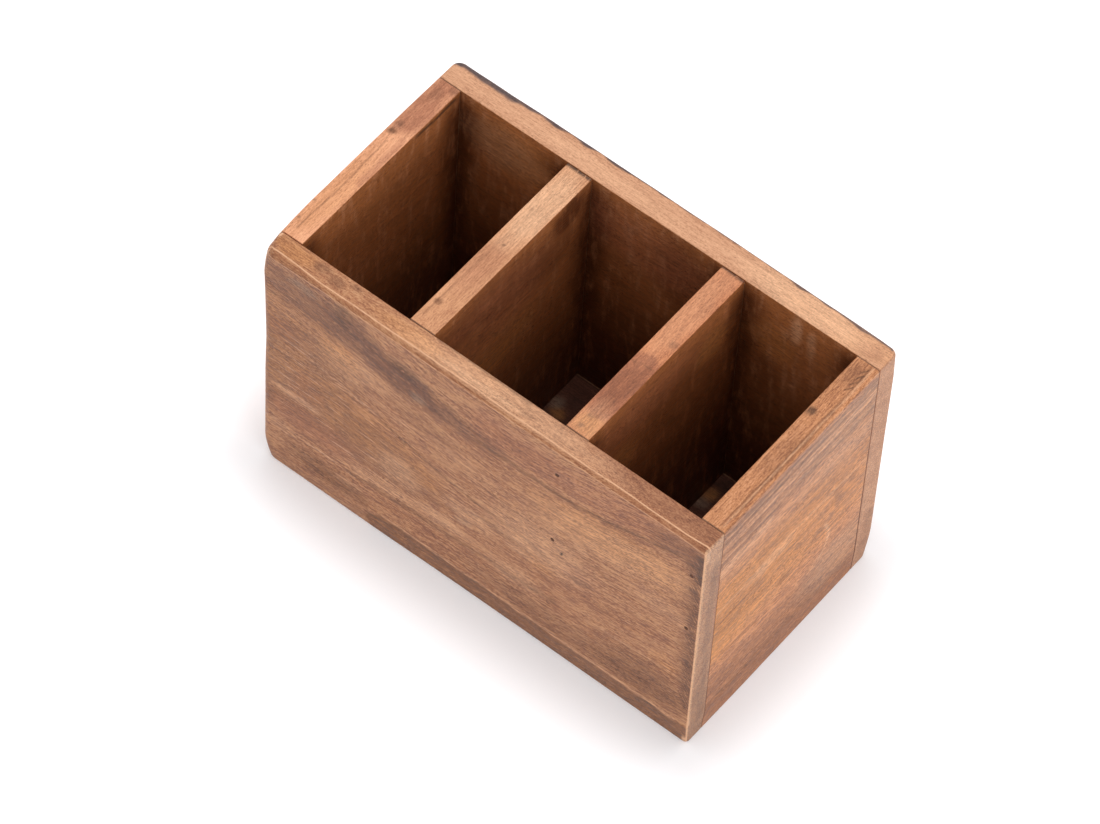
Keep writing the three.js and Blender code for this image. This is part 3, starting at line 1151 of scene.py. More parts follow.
@dataclass
class Board:
    """One board: its CAD node, its finish and grain, the sides that show outside, and its marks."""

    node: str
    slot: str
    wood: Hardwood
    grain: Grain
    outside: tuple[Side, ...]
    inside: tuple[Side, ...]
    marks: Marks = field(default_factory=dict)
    holes: tuple[Hole, ...] = ()
    flows: tuple[tuple[float, Course], ...] = ()
    step: float = 0.75
    thin_step: float = 0.5
    thin: float = 20.0
    fine_step: float = 0.33
    outer_reach: float = 3.6
    seam_step: float = 0.15
    seam_reach: float = 0.6
    rim_edge: float = 0.3
    seam_edge: float = 0.05
    unevenness: float = 0.1
    uneven_length: float = 24.0
    uneven_seed: float = 9.1
    sway_length: float = 5.5
    sway_seeds: tuple[float, float] = (3.1, 8.3)

    def build(self, rounding: Rounding) -> Piece:
        """Builds the board's mesh, paints its marks and dresses it.

        Args:
            rounding: The rounding of the assembled box.

        Returns:
            The finished piece.
        """
        box = node_box(self.node)
        blank = Blank(self._lines(box, rounding.foot_rise), self.holes)
        square = np.array(blank.points)
        points = square.copy()
        self._ease(points, box)
        points = self._uneven(points, square, box)
        points, rim, corner = rounding.wrap(points)
        piece = make_object(f"{self.node}_wood", points, blank.faces)
        self._paint(piece, square, box, blank.bore_points)
        set_attribute(piece, "rim", rim)
        set_attribute(piece, "corner", corner)
        set_attribute(piece, "flow", self._flow(square))
        piece.data.materials.append(self.wood.material(self.grain))
        declare(piece, [self.node])
        return piece

    def _lines(self, box: Box, foot_rise: float) -> tuple[Array, Array, Array]:
        """The grid lines along each axis, close together where an edge is rounded and where the foot leans in.

        Args:
            box: The board's lowest and highest corners.
            foot_rise: How high the leaning foot of the box reaches.

        Returns:
            Their places, for each axis.
        """
        lines = []
        for axis in range(3):
            low, high = box[0][axis], box[1][axis]
            sides = (Side((axis, -1)), Side((axis, 1)))
            reaches = [self.outer_reach if side in self.outside else self.seam_reach for side in sides]
            steps = self.step if high - low > self.thin else self.thin_step
            fine = self.fine_step if max(reaches) > self.seam_reach else self.seam_step
            lines.append(grid_lines(low, high, steps, (reaches[0], reaches[1]), fine))
        if high > foot_rise:
            upright = lines[2][np.abs(lines[2] - foot_rise) > self.fine_step]
            lines[2] = np.sort(np.append(upright, (foot_rise - self.seam_step, foot_rise + self.seam_step)))
        return lines[0], lines[1], lines[2]

    def _ease(self, points: Array, box: Box) -> None:
        """Rounds the edges that the rounding of the whole box doesn't reach, in place.

        Args:
            points: Places in and on the board.
            box: The board's lowest and highest corners.
        """
        for first in Side:
            for second in Side:
                if first.axis >= second.axis or (first in self.outside and second in self.outside):
                    continue
                on_rim = Side.TOP in (first, second) and {first, second} & set(self.inside)
                ease_edge(points, box, first, second, self.rim_edge if on_rim else self.seam_edge)

    def _uneven(self, points: Array, square: Array, box: Box) -> Array:
        """Gives the broad faces the shallow waves that planing by hand leaves.

        Args:
            points: The board's points with their edges eased.
            square: The same points on the square board.
            box: The board's lowest and highest corners.

        Returns:
            The moved points.
        """
        moved = points.copy()
        for side in (*self.outside, *self.inside):
            if side is Side.UNDER:
                continue
            on_side = lies_on(square, box, side)
            wave = drift(square[on_side], self.uneven_length, self.uneven_seed + side.axis)
            moved[on_side, side.axis] += self.unevenness * (wave - 1) * side.sign * 0.5
        return moved

    def _flow(self, square: Array) -> Array:
        """How far the grain has risen at each point on its way along the board.

        Args:
            square: The points on the square board.

        Returns:
            One rise for each point.
        """
        if not self.flows:
            return np.zeros(len(square))
        (low, low_course), (high, high_course) = self.flows
        along = square[:, 0] - box_sizes()[0][0]
        share = np.clip((square[:, 2] - low) / (high - low), 0, 1)
        return follow(low_course, along) * (1 - share) + follow(high_course, along) * share

    def _paint(self, piece: Piece, square: Array, box: Box, bores: set[int]) -> None:
        """Stores how strong each discoloration, painted shade and painted highlight is at each point.

        Args:
            piece: The board's finished mesh.
            square: Its points on the square board.
            box: The board's lowest and highest corners.
            bores: The numbers of the points in its holes.
        """
        origin = box_sizes()[0]
        strengths = {tint: np.zeros(len(square)) for tint in Tint}
        for side in self.inside:
            below_rim = square[:, 2] < box[1][2] - self.rim_edge
            strengths[Tint.INSIDE][lies_on(square, box, side) & below_rim] = 1.0
        for side, tints in self.marks.items():
            on_side = lies_on(square, box, side)
            places = [square[on_side, axis] - origin[axis] for axis in side.across]
            sways = [drift(square[on_side], self.sway_length, seed) for seed in self.sway_seeds]
            for tint, marks in tints.items():
                for mark in marks:
                    strayed = (place + mark.sway * sway for place, sway in zip(places, sways))
                    strengths[tint][on_side] = np.maximum(strengths[tint][on_side], mark.weight(*strayed))
        # The walls of the pin holes get full grime: dirt, and painted shade in the holes.
        strengths[Tint.GRIME][list(bores)] = 1.0
        for tint, values in strengths.items():
            set_attribute(piece, tint.value, values)


CROSS_BOARDS = ("left_end", "left_divider", "right_divider", "right_end")
LONG_SIDES = (Side.FRONT, Side.BACK)


def pin_node(side: Side, board: str, level: str) -> str:
    """The CAD node of the pin that goes through a long board into a cross board, at the given level."""
    return f"pin_{side.name.lower()}_{board}_{level}"


@dataclass
class Walls:
    """The front and back boards, and the ends and the dividers between them, glued together."""

    rounding: Rounding
    glue: PlainFinish
    hole_radius: float = 0.66
    spare_depth: float = 0.6
    glue_clear: float = 0.02
    glue_sunk: float = 0.12
    glue_across: int = 12
    glue_up: int = 140
    open_joints: Mapping[tuple[Side, str], float] = field(default_factory=dict)

    def holes(self, side: Side, board: str, through: bool) -> tuple[Hole, ...]:
        """The pin holes of one joint, through the long board or into the end of the cross board.

        Args:
            side: The long board's outer side.
            board: The cross board.
            through: Whether it is the long board that is drilled.

        Returns:
            The holes, in the frame of the box.
        """
        found = []
        for level in LEVELS:
            pin = node_box(pin_node(side, board, level))
            middle = (pin[0] + pin[1]) / 2
            depth = None
            if not through:
                depth = abs(face_of(pin, side.opposite) - face_of(node_box(board), side)) + self.spare_depth
            found.append(Hole(side, (middle[0], middle[2]), self.hole_radius, depth))
        return tuple(found)

    def boards(self) -> list[Board]:
        """The boards with their finishes and marks.

        Returns:
            The boards, in the order that they are built in.
        """
        ends = (Side.TOP, Side.UNDER)
        boards = []
        for side, wood, marks, flows in (
            (Side.FRONT, FRONT_WOOD, FRONT_MARKS, FRONT_FLOWS), (Side.BACK, BACK_WOOD, BACK_MARKS, ()),
        ):
            name = side.name.lower()
            holes = tuple(hole for board in CROSS_BOARDS for hole in self.holes(side, board, True))
            boards.append(Board(f"{name}_board", f"{name}_wood", wood, Grain.ALONG_BOX,
                                (side, Side.LEFT, Side.RIGHT, *ends), (side.opposite,), marks, holes, flows))
        for name, wood, outside, inside, marks in (
            ("left_end", LEFT_END_WOOD, (Side.LEFT, *ends), (Side.RIGHT,), LEFT_END_MARKS),
            ("right_end", RIGHT_END_WOOD, (Side.RIGHT, *ends), (Side.LEFT,), RIGHT_END_MARKS),
            ("left_divider", LEFT_DIVIDER_WOOD, (Side.TOP,), (Side.LEFT, Side.RIGHT), LEFT_DIVIDER_MARKS),
            ("right_divider", RIGHT_DIVIDER_WOOD, (Side.TOP,), (Side.LEFT, Side.RIGHT), RIGHT_DIVIDER_MARKS),
        ):
            holes = tuple(hole for side in LONG_SIDES for hole in self.holes(side, name, False))
            boards.append(Board(name, f"{name.split('_')[1]}_wood", wood, Grain.ACROSS_BOX, outside, inside,
                                marks, holes))
        return boards

    def glue_film(self, side: Side, board: str) -> None:
        """Fills the joint between a long board and a cross board with its film of glue.

        Args:
            side: The long board's outer side.
            board: The cross board.
        """
        low, high = node_box(board)
        long_face = face_of(node_box(f"{side.name.lower()}_board"), side.opposite)
        near, far = sorted((long_face, face_of((low, high), side)))
        sunk = self.open_joints.get((side, board), self.glue_sunk)
        low += (self.glue_sunk, 0, self.glue_sunk)
        high -= (self.glue_sunk, 0, sunk)
        blank = Blank((
            np.linspace(low[0], high[0], self.glue_across),
            np.array((near + self.glue_clear, far - self.glue_clear)),
            np.linspace(low[2], high[2], self.glue_up),
        ))
        points, _, _ = self.rounding.wrap(np.array(blank.points))
        film = make_object(f"glue_{side.name.lower()}_{board}", points, blank.faces)
        film.data.materials.append(self.glue.material())
        declare(film, [])

    def build(self) -> None:
        """Builds every board and glues them."""
        for board in self.boards():
            board.build(self.rounding)
        for side in LONG_SIDES:
            for board in CROSS_BOARDS:
                self.glue_film(side, board)


@dataclass
class Bottom:
    """The thin panel let in between the walls, and the glue round it."""

    rounding: Rounding
    glue: PlainFinish
    step: float = 1.2
    glue_clear: float = 0.05
    glue_sunk: float = 0.12

    def glue_film(self, side: Side, wall: str) -> None:
        """Fills the gap between the panel and one wall with its film of glue.

        Args:
            side: The panel's side at the gap.
            wall: The wall.
        """
        low, high = node_box("bottom_panel")
        near, far = sorted((face_of(node_box(wall), side.opposite), face_of((low, high), side)))
        low[side.axis], high[side.axis] = near + self.glue_clear, far - self.glue_clear
        low[2] += self.glue_sunk
        high[2] -= self.glue_sunk
        blank = Blank(tuple(np.array(ends) for ends in zip(low, high)))
        film = make_object(f"glue_bottom_{wall}", np.array(blank.points), blank.faces)
        film.data.materials.append(self.glue.material())
        declare(film, [])

    def build(self) -> None:
        """Builds the panel and glues it in."""
        Board("bottom_panel", "bottom_wood", BOTTOM_WOOD, Grain.ALONG_BOX, (Side.UNDER,), (Side.TOP,),
              BOTTOM_MARKS, step=self.step).build(self.rounding)
        for side, wall in zip((*LONG_SIDES, Side.LEFT, Side.RIGHT),
                              ("front_board", "back_board", "left_end", "right_end")):
            self.glue_film(side, wall)


LEVELS = ("top", "middle", "low")


@dataclass
class Fixings:
    """The headless panel pins of the butt joints, and the stopping or dark wax that fills the holes over them. The
    dark wax is also painted shade, where the holes stand open.
    """

    steel: PlainFinish
    stopping: PlainFinish
    wax: PlainFinish
    pin_length: float = 20.0
    head_radius: float = 0.55
    shank_radius: float = 0.45
    head_length: float = 0.8
    neck_length: float = 0.4
    point_length: float = 2.0
    blunt: float = 0.03
    rings: int = 51
    pin_sides: int = 8
    lean: float = 0.3
    seed: int = 7
    stopping_radius: float = 0.64
    stopping_length: float = 0.5
    stopping_sides: int = 20
    stopping_sunk: float = 0.1
    # The holes that get dark wax, which is also the painted shade of holes that stand open.
    dark_plugged: tuple[tuple[Side, str, str], ...] = (
        (Side.FRONT, "right_divider", "top"), (Side.FRONT, "right_divider", "middle"),
        (Side.FRONT, "right_end", "top"), (Side.FRONT, "right_end", "middle"),
    )

    @property
    def pin_sizes(self) -> dict[str, float]:
        """The inputs of the pins' tree.

        Returns:
            Each input by name, in metres, and the most that a pin leans, in radians.
        """
        sizes = {
            "Length": self.pin_length, "Head radius": self.head_radius, "Shank radius": self.shank_radius,
            "Head length": self.head_length, "Neck length": self.neck_length, "Point length": self.point_length,
            "Blunt radius": self.blunt,
        }
        return {name: size / METRE for name, size in sizes.items()} | {"Lean": math.radians(self.lean)}

    @property
    def plug_sizes(self) -> dict[str, float]:
        """The inputs of the stoppings' tree by name, in metres."""
        return {"Radius": self.stopping_radius / METRE, "Length": self.stopping_length / METRE}

    def tree(self, name: str, sizes: Iterable[str]) -> tuple[Tree, Node]:
        """Starts a Geometry Nodes tree that takes places, sizes and a finish.

        Args:
            name: The tree's name.
            sizes: The names of the sizes.

        Returns:
            The tree and its input node.
        """
        tree = bpy.data.node_groups.new(name, "GeometryNodeTree")
        inputs = {"Places": "Geometry", **dict.fromkeys(sizes, "Float"), "Finish": "Material"}
        for label, kind in inputs.items():
            tree.interface.new_socket(label, in_out="INPUT", socket_type=f"NodeSocket{kind}")
        tree.interface.new_socket("Result", in_out="OUTPUT", socket_type="NodeSocketGeometry")
        return tree, add(tree, "NodeGroupInput")

    def place(self, tree: Tree, given: Node, shape: Node, lean: float | bpy.types.NodeSocket) -> None:
        """Puts a shape that points along +Y at each place, turned as the place says, and ends the tree.

        Args:
            tree: The tree.
            given: Its input node.
            shape: The node that makes the shape.
            lean: The most that a copy leans, in radians.
        """
        turn = add(tree, "GeometryNodeInputNamedAttribute", {"data_type": "FLOAT"}, {"Name": "turn"})
        less = add(tree, "ShaderNodeMath", {"operation": "MULTIPLY"}, {0: lean, 1: -1.0})
        chance = [
            add(tree, "FunctionNodeRandomValue", {"data_type": "FLOAT"}, {2: less, 3: lean, "Seed": self.seed + step})
            for step in range(2)
        ]
        swing = add(tree, "ShaderNodeMath", {"operation": "ADD"}, {0: turn, 1: chance[1].outputs[1]})
        turned = add(tree, "ShaderNodeCombineXYZ", {}, {"X": chance[0].outputs[1], "Z": swing})
        copies = add(tree, "GeometryNodeInstanceOnPoints", {}, {
            "Points": given.outputs["Places"], "Instance": shape,
            "Rotation": add(tree, "FunctionNodeEulerToRotation", {}, {0: turned}),
        })
        dressed = add(tree, "GeometryNodeSetMaterial", {}, {
            "Geometry": add(tree, "GeometryNodeRealizeInstances", {}, {"Geometry": copies}),
            "Material": given.outputs["Finish"],
        })
        add(tree, "NodeGroupOutput", {}, {"Result": dressed})

    def pin_tree(self) -> Tree:
        """The tree that makes a pin at each place: a line with the pin's radius along it, given its round skin.

        Returns:
            The tree.
        """
        tree, given = self.tree("panel_pins", self.pin_sizes)
        size = given.outputs
        tip = add(tree, "ShaderNodeCombineXYZ", {}, {"Y": size["Length"]})
        wire = add(tree, "GeometryNodeCurvePrimitiveLine", {}, {"End": tip})
        wire = add(tree, "GeometryNodeResampleCurve", {}, {"Curve": wire, "Count": self.rings})
        along = add(tree, "ShaderNodeSeparateXYZ", {}, {0: add(tree, "GeometryNodeInputPosition")}).outputs["Y"]
        neck_end = add(tree, "ShaderNodeMath", {"operation": "ADD"}, {0: size["Head length"], 1: size["Neck length"]})
        point_start = add(tree, "ShaderNodeMath", {"operation": "SUBTRACT"}, {
            0: size["Length"], 1: size["Point length"],
        })
        neck = add(tree, "ShaderNodeMapRange", {}, {
            "Value": along, "From Min": size["Head length"], "From Max": neck_end,
            "To Min": size["Head radius"], "To Max": size["Shank radius"],
        })
        point = add(tree, "ShaderNodeMapRange", {}, {
            "Value": along, "From Min": point_start, "From Max": size["Length"],
            "To Min": size["Head radius"], "To Max": size["Blunt radius"],
        })
        radius = add(tree, "ShaderNodeMath", {"operation": "MINIMUM"}, {0: neck, 1: point})
        section = add(tree, "GeometryNodeCurvePrimitiveCircle", {}, {"Resolution": self.pin_sides, "Radius": 1.0})
        skin = add(tree, "GeometryNodeCurveToMesh", {}, {
            "Curve": add(tree, "GeometryNodeSetCurveRadius", {}, {"Curve": wire, "Radius": radius}),
            "Profile Curve": section, "Fill Caps": True,
        })
        # Where the skin has an input for its scale, its radius comes from there.
        scale = next((socket for socket in skin.inputs if socket.name == "Scale"), None)
        if scale is not None:
            tree.links.new(radius.outputs[0], scale)
        self.place(tree, given, skin, size["Lean"])
        return tree

    def stopping_tree(self, name: str) -> Tree:
        """The tree that makes a short plug of stopping at each place.

        Args:
            name: The tree's name.

        Returns:
            The tree.
        """
        tree, given = self.tree(name, self.plug_sizes)
        plug = add(tree, "GeometryNodeMeshCylinder", {}, {
            "Vertices": self.stopping_sides, "Radius": given.outputs["Radius"], "Depth": given.outputs["Length"],
        })
        middle = add(tree, "ShaderNodeMath", {"operation": "MULTIPLY"}, {0: given.outputs["Length"], 1: 0.5})
        laid = add(tree, "GeometryNodeTransform", {}, {
            "Geometry": plug.outputs["Mesh"], "Rotation": (math.pi / 2, 0.0, 0.0),
            "Translation": add(tree, "ShaderNodeCombineXYZ", {}, {"Y": middle}),
        })
        self.place(tree, given, laid, 0.0)
        return tree

    def bake(
        self, name: str, tree: Tree, places: Sequence[Sequence[float]], turns: Sequence[float],
        inputs: Mapping[str, float | Material],
    ) -> Piece:
        """Runs a tree on its places and keeps the result as a plain mesh.

        Args:
            name: The piece's name.
            tree: The tree.
            places: Where each copy goes, in millimetres.
            turns: How each copy is turned about the upright axis, in radians.
            inputs: The tree's other inputs by name, with lengths in metres.

        Returns:
            The piece.
        """
        mesh = bpy.data.meshes.new(name)
        mesh.from_pydata((np.array(places) / METRE).tolist(), [], [])
        piece = put_in_scene(name, mesh)
        set_attribute(piece, "turn", np.array(turns))
        modifier = piece.modifiers.new(name, "NODES")
        modifier.node_group = tree
        for item in tree.interface.items_tree:
            if item.item_type == "SOCKET" and item.in_out == "INPUT" and item.name in inputs:
                modifier[item.identifier] = inputs[item.name]
        evaluated = piece.evaluated_get(bpy.context.evaluated_depsgraph_get())
        baked = bpy.data.meshes.new_from_object(evaluated)
        piece.modifiers.remove(modifier)
        piece.data = baked
        baked.shade_smooth()
        baked.name = name
        return piece

    def build(self) -> None:
        """Drives the pins and fills the holes over them."""
        places, turns, nodes, dark_plugged = [], [], [], []
        for side in LONG_SIDES:
            for board in CROSS_BOARDS:
                for level in LEVELS:
                    node = pin_node(side, board, level)
                    pin = node_box(node)
                    head = (pin[0] + pin[1]) / 2
                    head[1] = face_of(pin, side)
                    places.append(head)
                    turns.append(math.pi if side.sign > 0 else 0.0)
                    nodes.append(node)
                    dark_plugged.append((side, board, level) in self.dark_plugged)
        pins = self.bake("panel_pins", self.pin_tree(), places, turns,
                         self.pin_sizes | {"Finish": self.steel.material()})
        declare(pins, nodes)
        low, high = box_sizes()
        mouths = []
        for place, turn in zip(places, turns):
            face = high[1] - self.stopping_sunk if turn else low[1] + self.stopping_sunk
            mouths.append((place[0], face, place[2]))
        for name, finish, chosen in (("stoppings", self.stopping, False), ("wax_plugs", self.wax, True)):
            kept = [index for index, dark in enumerate(dark_plugged) if dark is chosen]
            plugs = self.bake(name, self.stopping_tree(name), [mouths[i] for i in kept], [turns[i] for i in kept],
                              self.plug_sizes | {"Finish": finish.material()})
            declare(plugs, [])


# How far the grain of the front has risen at places along it, at two heights, all in millimetres.
FRONT_FLOWS: tuple[tuple[float, Course], ...] = (
    (25.0, ((0, 0), (50, 1), (80, 2.6), (110, 4.6), (135, 7), (160, 9.6))),
    (85.0, ((0, 0), (12, -0.9), (22, -2.2), (34, -4.7), (46, -7.4), (60, -10.3), (72, -12.3), (84, -13.3), (94, -13.4),
            (104, -12.6), (116, -10.8), (128, -8.1), (140, -5.0), (150, -2.7), (160, -1.2))),
)

# The marks of each board, side by side and tint by tint. Where the photograph shows a side, its marks lie where
# the photograph has them, and elsewhere they are plausible ones. Places are in millimetres.
FRONT_MARKS: Marks = {
    Side.FRONT: {
        Tint.STREAK: (
            Trail((
                (-4, 93, 8, 0.25), (12, 93, 8, 0.65), (24, 92, 8, 0.8), (33, 93, 7, 0.85), (43, 88, 6, 0.95),
                (54, 86.5, 6.5, 1), (63, 85, 5.5, 0.9), (72, 83.5, 4, 0.6), (88, 83, 3, 0.4),
            )),
            Blot(150, 97, 9, 5, 0.6, 12), Blot(110, 17, 30, 6, 0.45), Blot(14, 15, 12, 6, 0.15),
            # The line 9.2 mm high darkens the top of the leaning foot facet: painted shade, and dirt along the edge.
            Blot(3.5, 33, 1.6, 5, 0.5), line(1.4, 0.6, (50, 9.2), (110, 9.2), (150, 9.2)),
        ),
        Tint.GRIME: (
            Blot(30, 97, 3, 5, 0.35), Blot(52.5, 91, 5, 2.5, 0.35), Blot(52.5, 92, 1.8, 0.8, 0.6),
            Blot(111.3, 55, 0.5, 0.9, 1, 0, 0.3), Blot(53.5, 56, 0.6, 1.3, 0.5), Blot(28.5, 36, 0.6, 0.4, 0.5, 30),
            Blot(4.5, 85.5, 1.2, 0.5, 0.5, 20), line(1.4, 0.4, (159.6, 88), (159.2, 98)),
        ),
        Tint.FIGURE: (
            Blot(14, 54, 24, 26, 0.45), Blot(34, 42, 30, 12, 0.5), Blot(60, 72, 12, 5, 0.25, -10),
            Blot(26, 12.5, 13, 4.5, 0.7), Blot(90, 45, 10, 1.6, 0.5, -2), Blot(119, 47, 4, 2.5, 0.35),
            Blot(142, 21, 18, 9, 0.5), line(0.5, 0.7, (45, 59), (54, 57), (64, 54), (80, 51), (100, 50), (107, 47)),
            line(0.45, 0.6, (57, 34), (66, 37), (73, 40), (80, 44), (88, 47)),
            line(1.2, 0.55, (34, 22), (60, 24.5), (84, 26), (110, 28)),
            line(0.9, 0.7, (80, 82), (98, 82.5), (116, 83.5), (126, 86), (140, 91), (158, 95)),
            line(0.4, 0.45, (125, 30), (145, 32), (158, 33)),
            line(0.35, 0.4, (84, 61), (100, 59.5), (117, 61), (130, 58), (140, 58)),
            # The two lines 4 mm high darken the leaning foot facet: painted shade, and dirt along the edge.
            line(4, 0.3, (158, 20), (158, 96)), line(6, 0.15, (0, 4), (45, 4), blur=0.3),
            line(6.4, 0.85, (47, 4), (156, 4), blur=0.12),
        ),
        Tint.DUST: (Blot(58, 82.5, 3, 2, 0.35), Blot(15, 98, 5, 2, 0.35), Blot(76, 37, 3.5, 1.5, 0.3, 20)),
        Tint.ORANGE: (
            Blot(28, 77, 7, 6, 0.5), Blot(8, 62, 12, 26, 0.3), Blot(16, 85, 12, 5, 0.2), Blot(30, 50, 26, 12, 0.35),
            Blot(60, 46, 8, 5, 0.35), Blot(104, 42, 6, 3, 0.25), Blot(150, 36, 5, 4, 0.25),
            Blot(128, 77, 26, 8, 0.45, 10), line(6.4, 0.3, (47, 4), (156, 4), blur=0.12),
        ),
        Tint.RUDDY: (
            Blot(8, 71, 7, 5, 0.35), Blot(17, 48, 7, 8, 0.35), Blot(18, 32, 18, 7, 0.55), Blot(118, 48, 6, 5, 0.35),
            Blot(95, 88, 14, 5, 0.2), line(7, 0.35, (84, 92), (112, 92), (128, 96), (152, 101)),
        ),
        Tint.PALE: (
            Blot(33, 75, 12, 5, 0.25), Blot(46, 27, 16, 3, 0.25, 6), Blot(68, 30, 10, 3, 0.3),
            Blot(78, 65, 14, 5, 0.1), Blot(78, 42, 9, 4, 0.3), Blot(14, 41, 9, 1.6, 0.3),
            Blot(34, 16.5, 5, 0.7, 0.35), Blot(7, 21, 5, 2.5, 0.2), Blot(104, 52, 18, 10, 0.35),
            Blot(52, 40, 8, 7, 0.35), Blot(96, 27, 10, 4, 0.3), Blot(98, 41.5, 6, 1.5, 0.4),
            Blot(128, 75, 28, 8, 0.3, 12), Blot(146, 63, 9, 5, 0.2), Blot(118, 64, 3, 2.5, 0.3),
            Blot(130.6, 71, 0.35, 1.1, 1, 0, 0.3), Blot(158.8, 2, 0.9, 2),
            line(0.35, 0.45, (22, 64.5), (32, 62.5), (44, 60.3)), line(0.3, 0.35, (8, 67), (15, 66), (22, 64.5)),
            line(0.35, 0.4, (12, 22), (36, 21)), line(0.4, 0.3, (125, 30.9), (145, 32.9), (157, 33.9)),
            # The pale line 10.9 mm high, at the crease above the foot facet, is a painted highlight.
            line(0.26, 0.8, (46, 10.9), (100, 10.8), (155, 10.9)),
        ),
        Tint.SCRATCH: (
            Blot(145, 21, 13, 7, 0.35), line(2.8, 0.85, (159.2, 22), (159, 50), (159.4, 86)),
            line(3.8, 1, (159.4, 88), (158.6, 96)),
        ),
        # Pale fibres, in part painted glints.
        Tint.BRIGHT: (Blot(24, 48, 34, 34, 0.45), Blot(92, 46, 48, 36, 0.15)),
    },
    Side.TOP: {
        Tint.ORANGE: (Blot(9, 5, 8, 3, 0.4), Blot(52, 4, 12, 2.5, 0.4)),
        Tint.PALE: (Blot(86, 3.5, 36, 5, 0.5), Blot(78, 3.2, 19, 1.6, 0.8), Blot(1, 7.2, 0.7, 1, 1, 0, 0.3)),
        Tint.STREAK: (
            Blot(18, 5.5, 3, 1.6, 0.6), Blot(24, 4.5, 2.6, 1.8, 0.6), Blot(29.5, 6.5, 2, 1, 0.5),
            line(3.4, 0.37, (86, 6.4), (120, 5.4), (158, 5.2)),
        ),
        Tint.GRIME: (line(0.5, 0.4, (58, 8.1), (74, 7.8), (92, 7.5)),),
        Tint.RUDDY: (line(5, 0.27, (98, 5), (158, 5)),),
    },
    Side.RIGHT: {
        Tint.DUST: (line(5.5, 0.35, (4, 0), (4, 104), blur=0.3),),
        Tint.STREAK: (line(1.6, 0.5, (5.5, 10), (5, 60), (5.5, 92)),),
        # The pale line along the corner is rubbed wood and painted highlight, and the strong pale blot where the rim
        # meets the corner is a painted highlight.
        Tint.PALE: (line(0.4, 0.6, (0.6, 12), (0.6, 96)), Blot(1, 101, 1.4, 4, 0.9), Blot(5, 100, 3, 8, 0.35)),
        # Darker towards the foot: painted shade.
        Tint.FIGURE: (line(4.5, 0.5, (4, 0), (4, 26), blur=0.9),),
        Tint.RUDDY: (line(0.4, 0.7, (7.9, 45), (7.9, 88)),),
    },
    Side.BACK: {
        # Painted shade: darker towards the foot of the wall and along its upright corners.
        Tint.DEEP: painted_wall_shade(42, 0.85, 8, 47.3, 56.9, 103.6, 112, 152),
    },
}

BACK_MARKS: Marks = {
    Side.TOP: {
        Tint.ORANGE: (Blot(142, 84, 18, 3.5, 0.4),),
        Tint.RUDDY: (Blot(153.5, 83.5, 3.6, 2.4, 0.55),),
        Tint.PALE: (Blot(132, 84, 22, 5, 0.85), Blot(60, 83, 30, 2.5, 0.25)),
        Tint.SOOT: (
            Trail(((-1, 88.4, 2.6, 1), (12, 88.6, 2.2, 1), (34, 88.9, 1.8, 1)), blur=0.25),
            Trail((
                (34, 88.9, 1.6, 1), (48, 89.1, 1.2, 1), (66, 89.2, 1, 1), (96, 89.3, 0.9, 0.8),
                (130, 89, 1, 0.9), (158, 88.7, 1.2, 0.9),
            ), blur=0.25),
        ),
    },
    Side.RIGHT: {
        Tint.FIGURE: (
            # The second line, darker towards the foot, is painted shade.
            line(5.5, 0.35, (84.5, 20), (84.5, 104)), line(4.8, 0.6, (84.5, 0), (84.5, 24), blur=0.9),
            line(0.4, 0.5, (80.2, 4), (80.2, 100)), line(0.3, 0.5, (82, 90), (84.6, 76)),
            line(0.3, 0.4, (83, 70), (86, 58)),
        ),
    },
    Side.FRONT: {
        Tint.PALE: (Blot(131, 96, 2, 6, 0.4), Blot(136.5, 94, 1.4, 6, 0.35)),
        Tint.DUST: (Blot(24, 90, 14, 9, 0.25),),
        Tint.ORANGE: (Blot(28, 90, 14, 10, 0.35), Blot(124, 84, 8, 8, 0.3)),
        # Painted shade: darker patches, and darker towards the foot of the wall and along its upright corners.
        Tint.DEEP: (
            Blot(92, 84, 12, 18, 0.6), Blot(118, 60, 10, 22, 0.5),
            *painted_wall_shade(54, 1, 8, 47.3, 56.9, 103.6, 112, 152),
        ),
        Tint.RUDDY: (Blot(76, 88, 24, 12, 0.4),),
    },
    Side.BACK: {
        Tint.STREAK: (Blot(22, 96, 26, 7, 0.8), Blot(130, 97, 24, 6, 0.6), Blot(90, 14, 50, 8, 0.35)),
        Tint.RUDDY: (Blot(60, 50, 24, 10, 0.35),),
        Tint.PALE: (Blot(110, 60, 30, 9, 0.4, 6),),
        Tint.ORANGE: (Blot(40, 72, 20, 8, 0.4),),
        Tint.FIGURE: (
            # The line 4 mm high darkens the foot facet: painted shade, and dirt along the edge.
            line(0.7, 0.5, (20, 40), (70, 44), (118, 39), (150, 41)), line(6, 0.5, (6, 4), (154, 4), blur=0.3),
        ),
    },
}

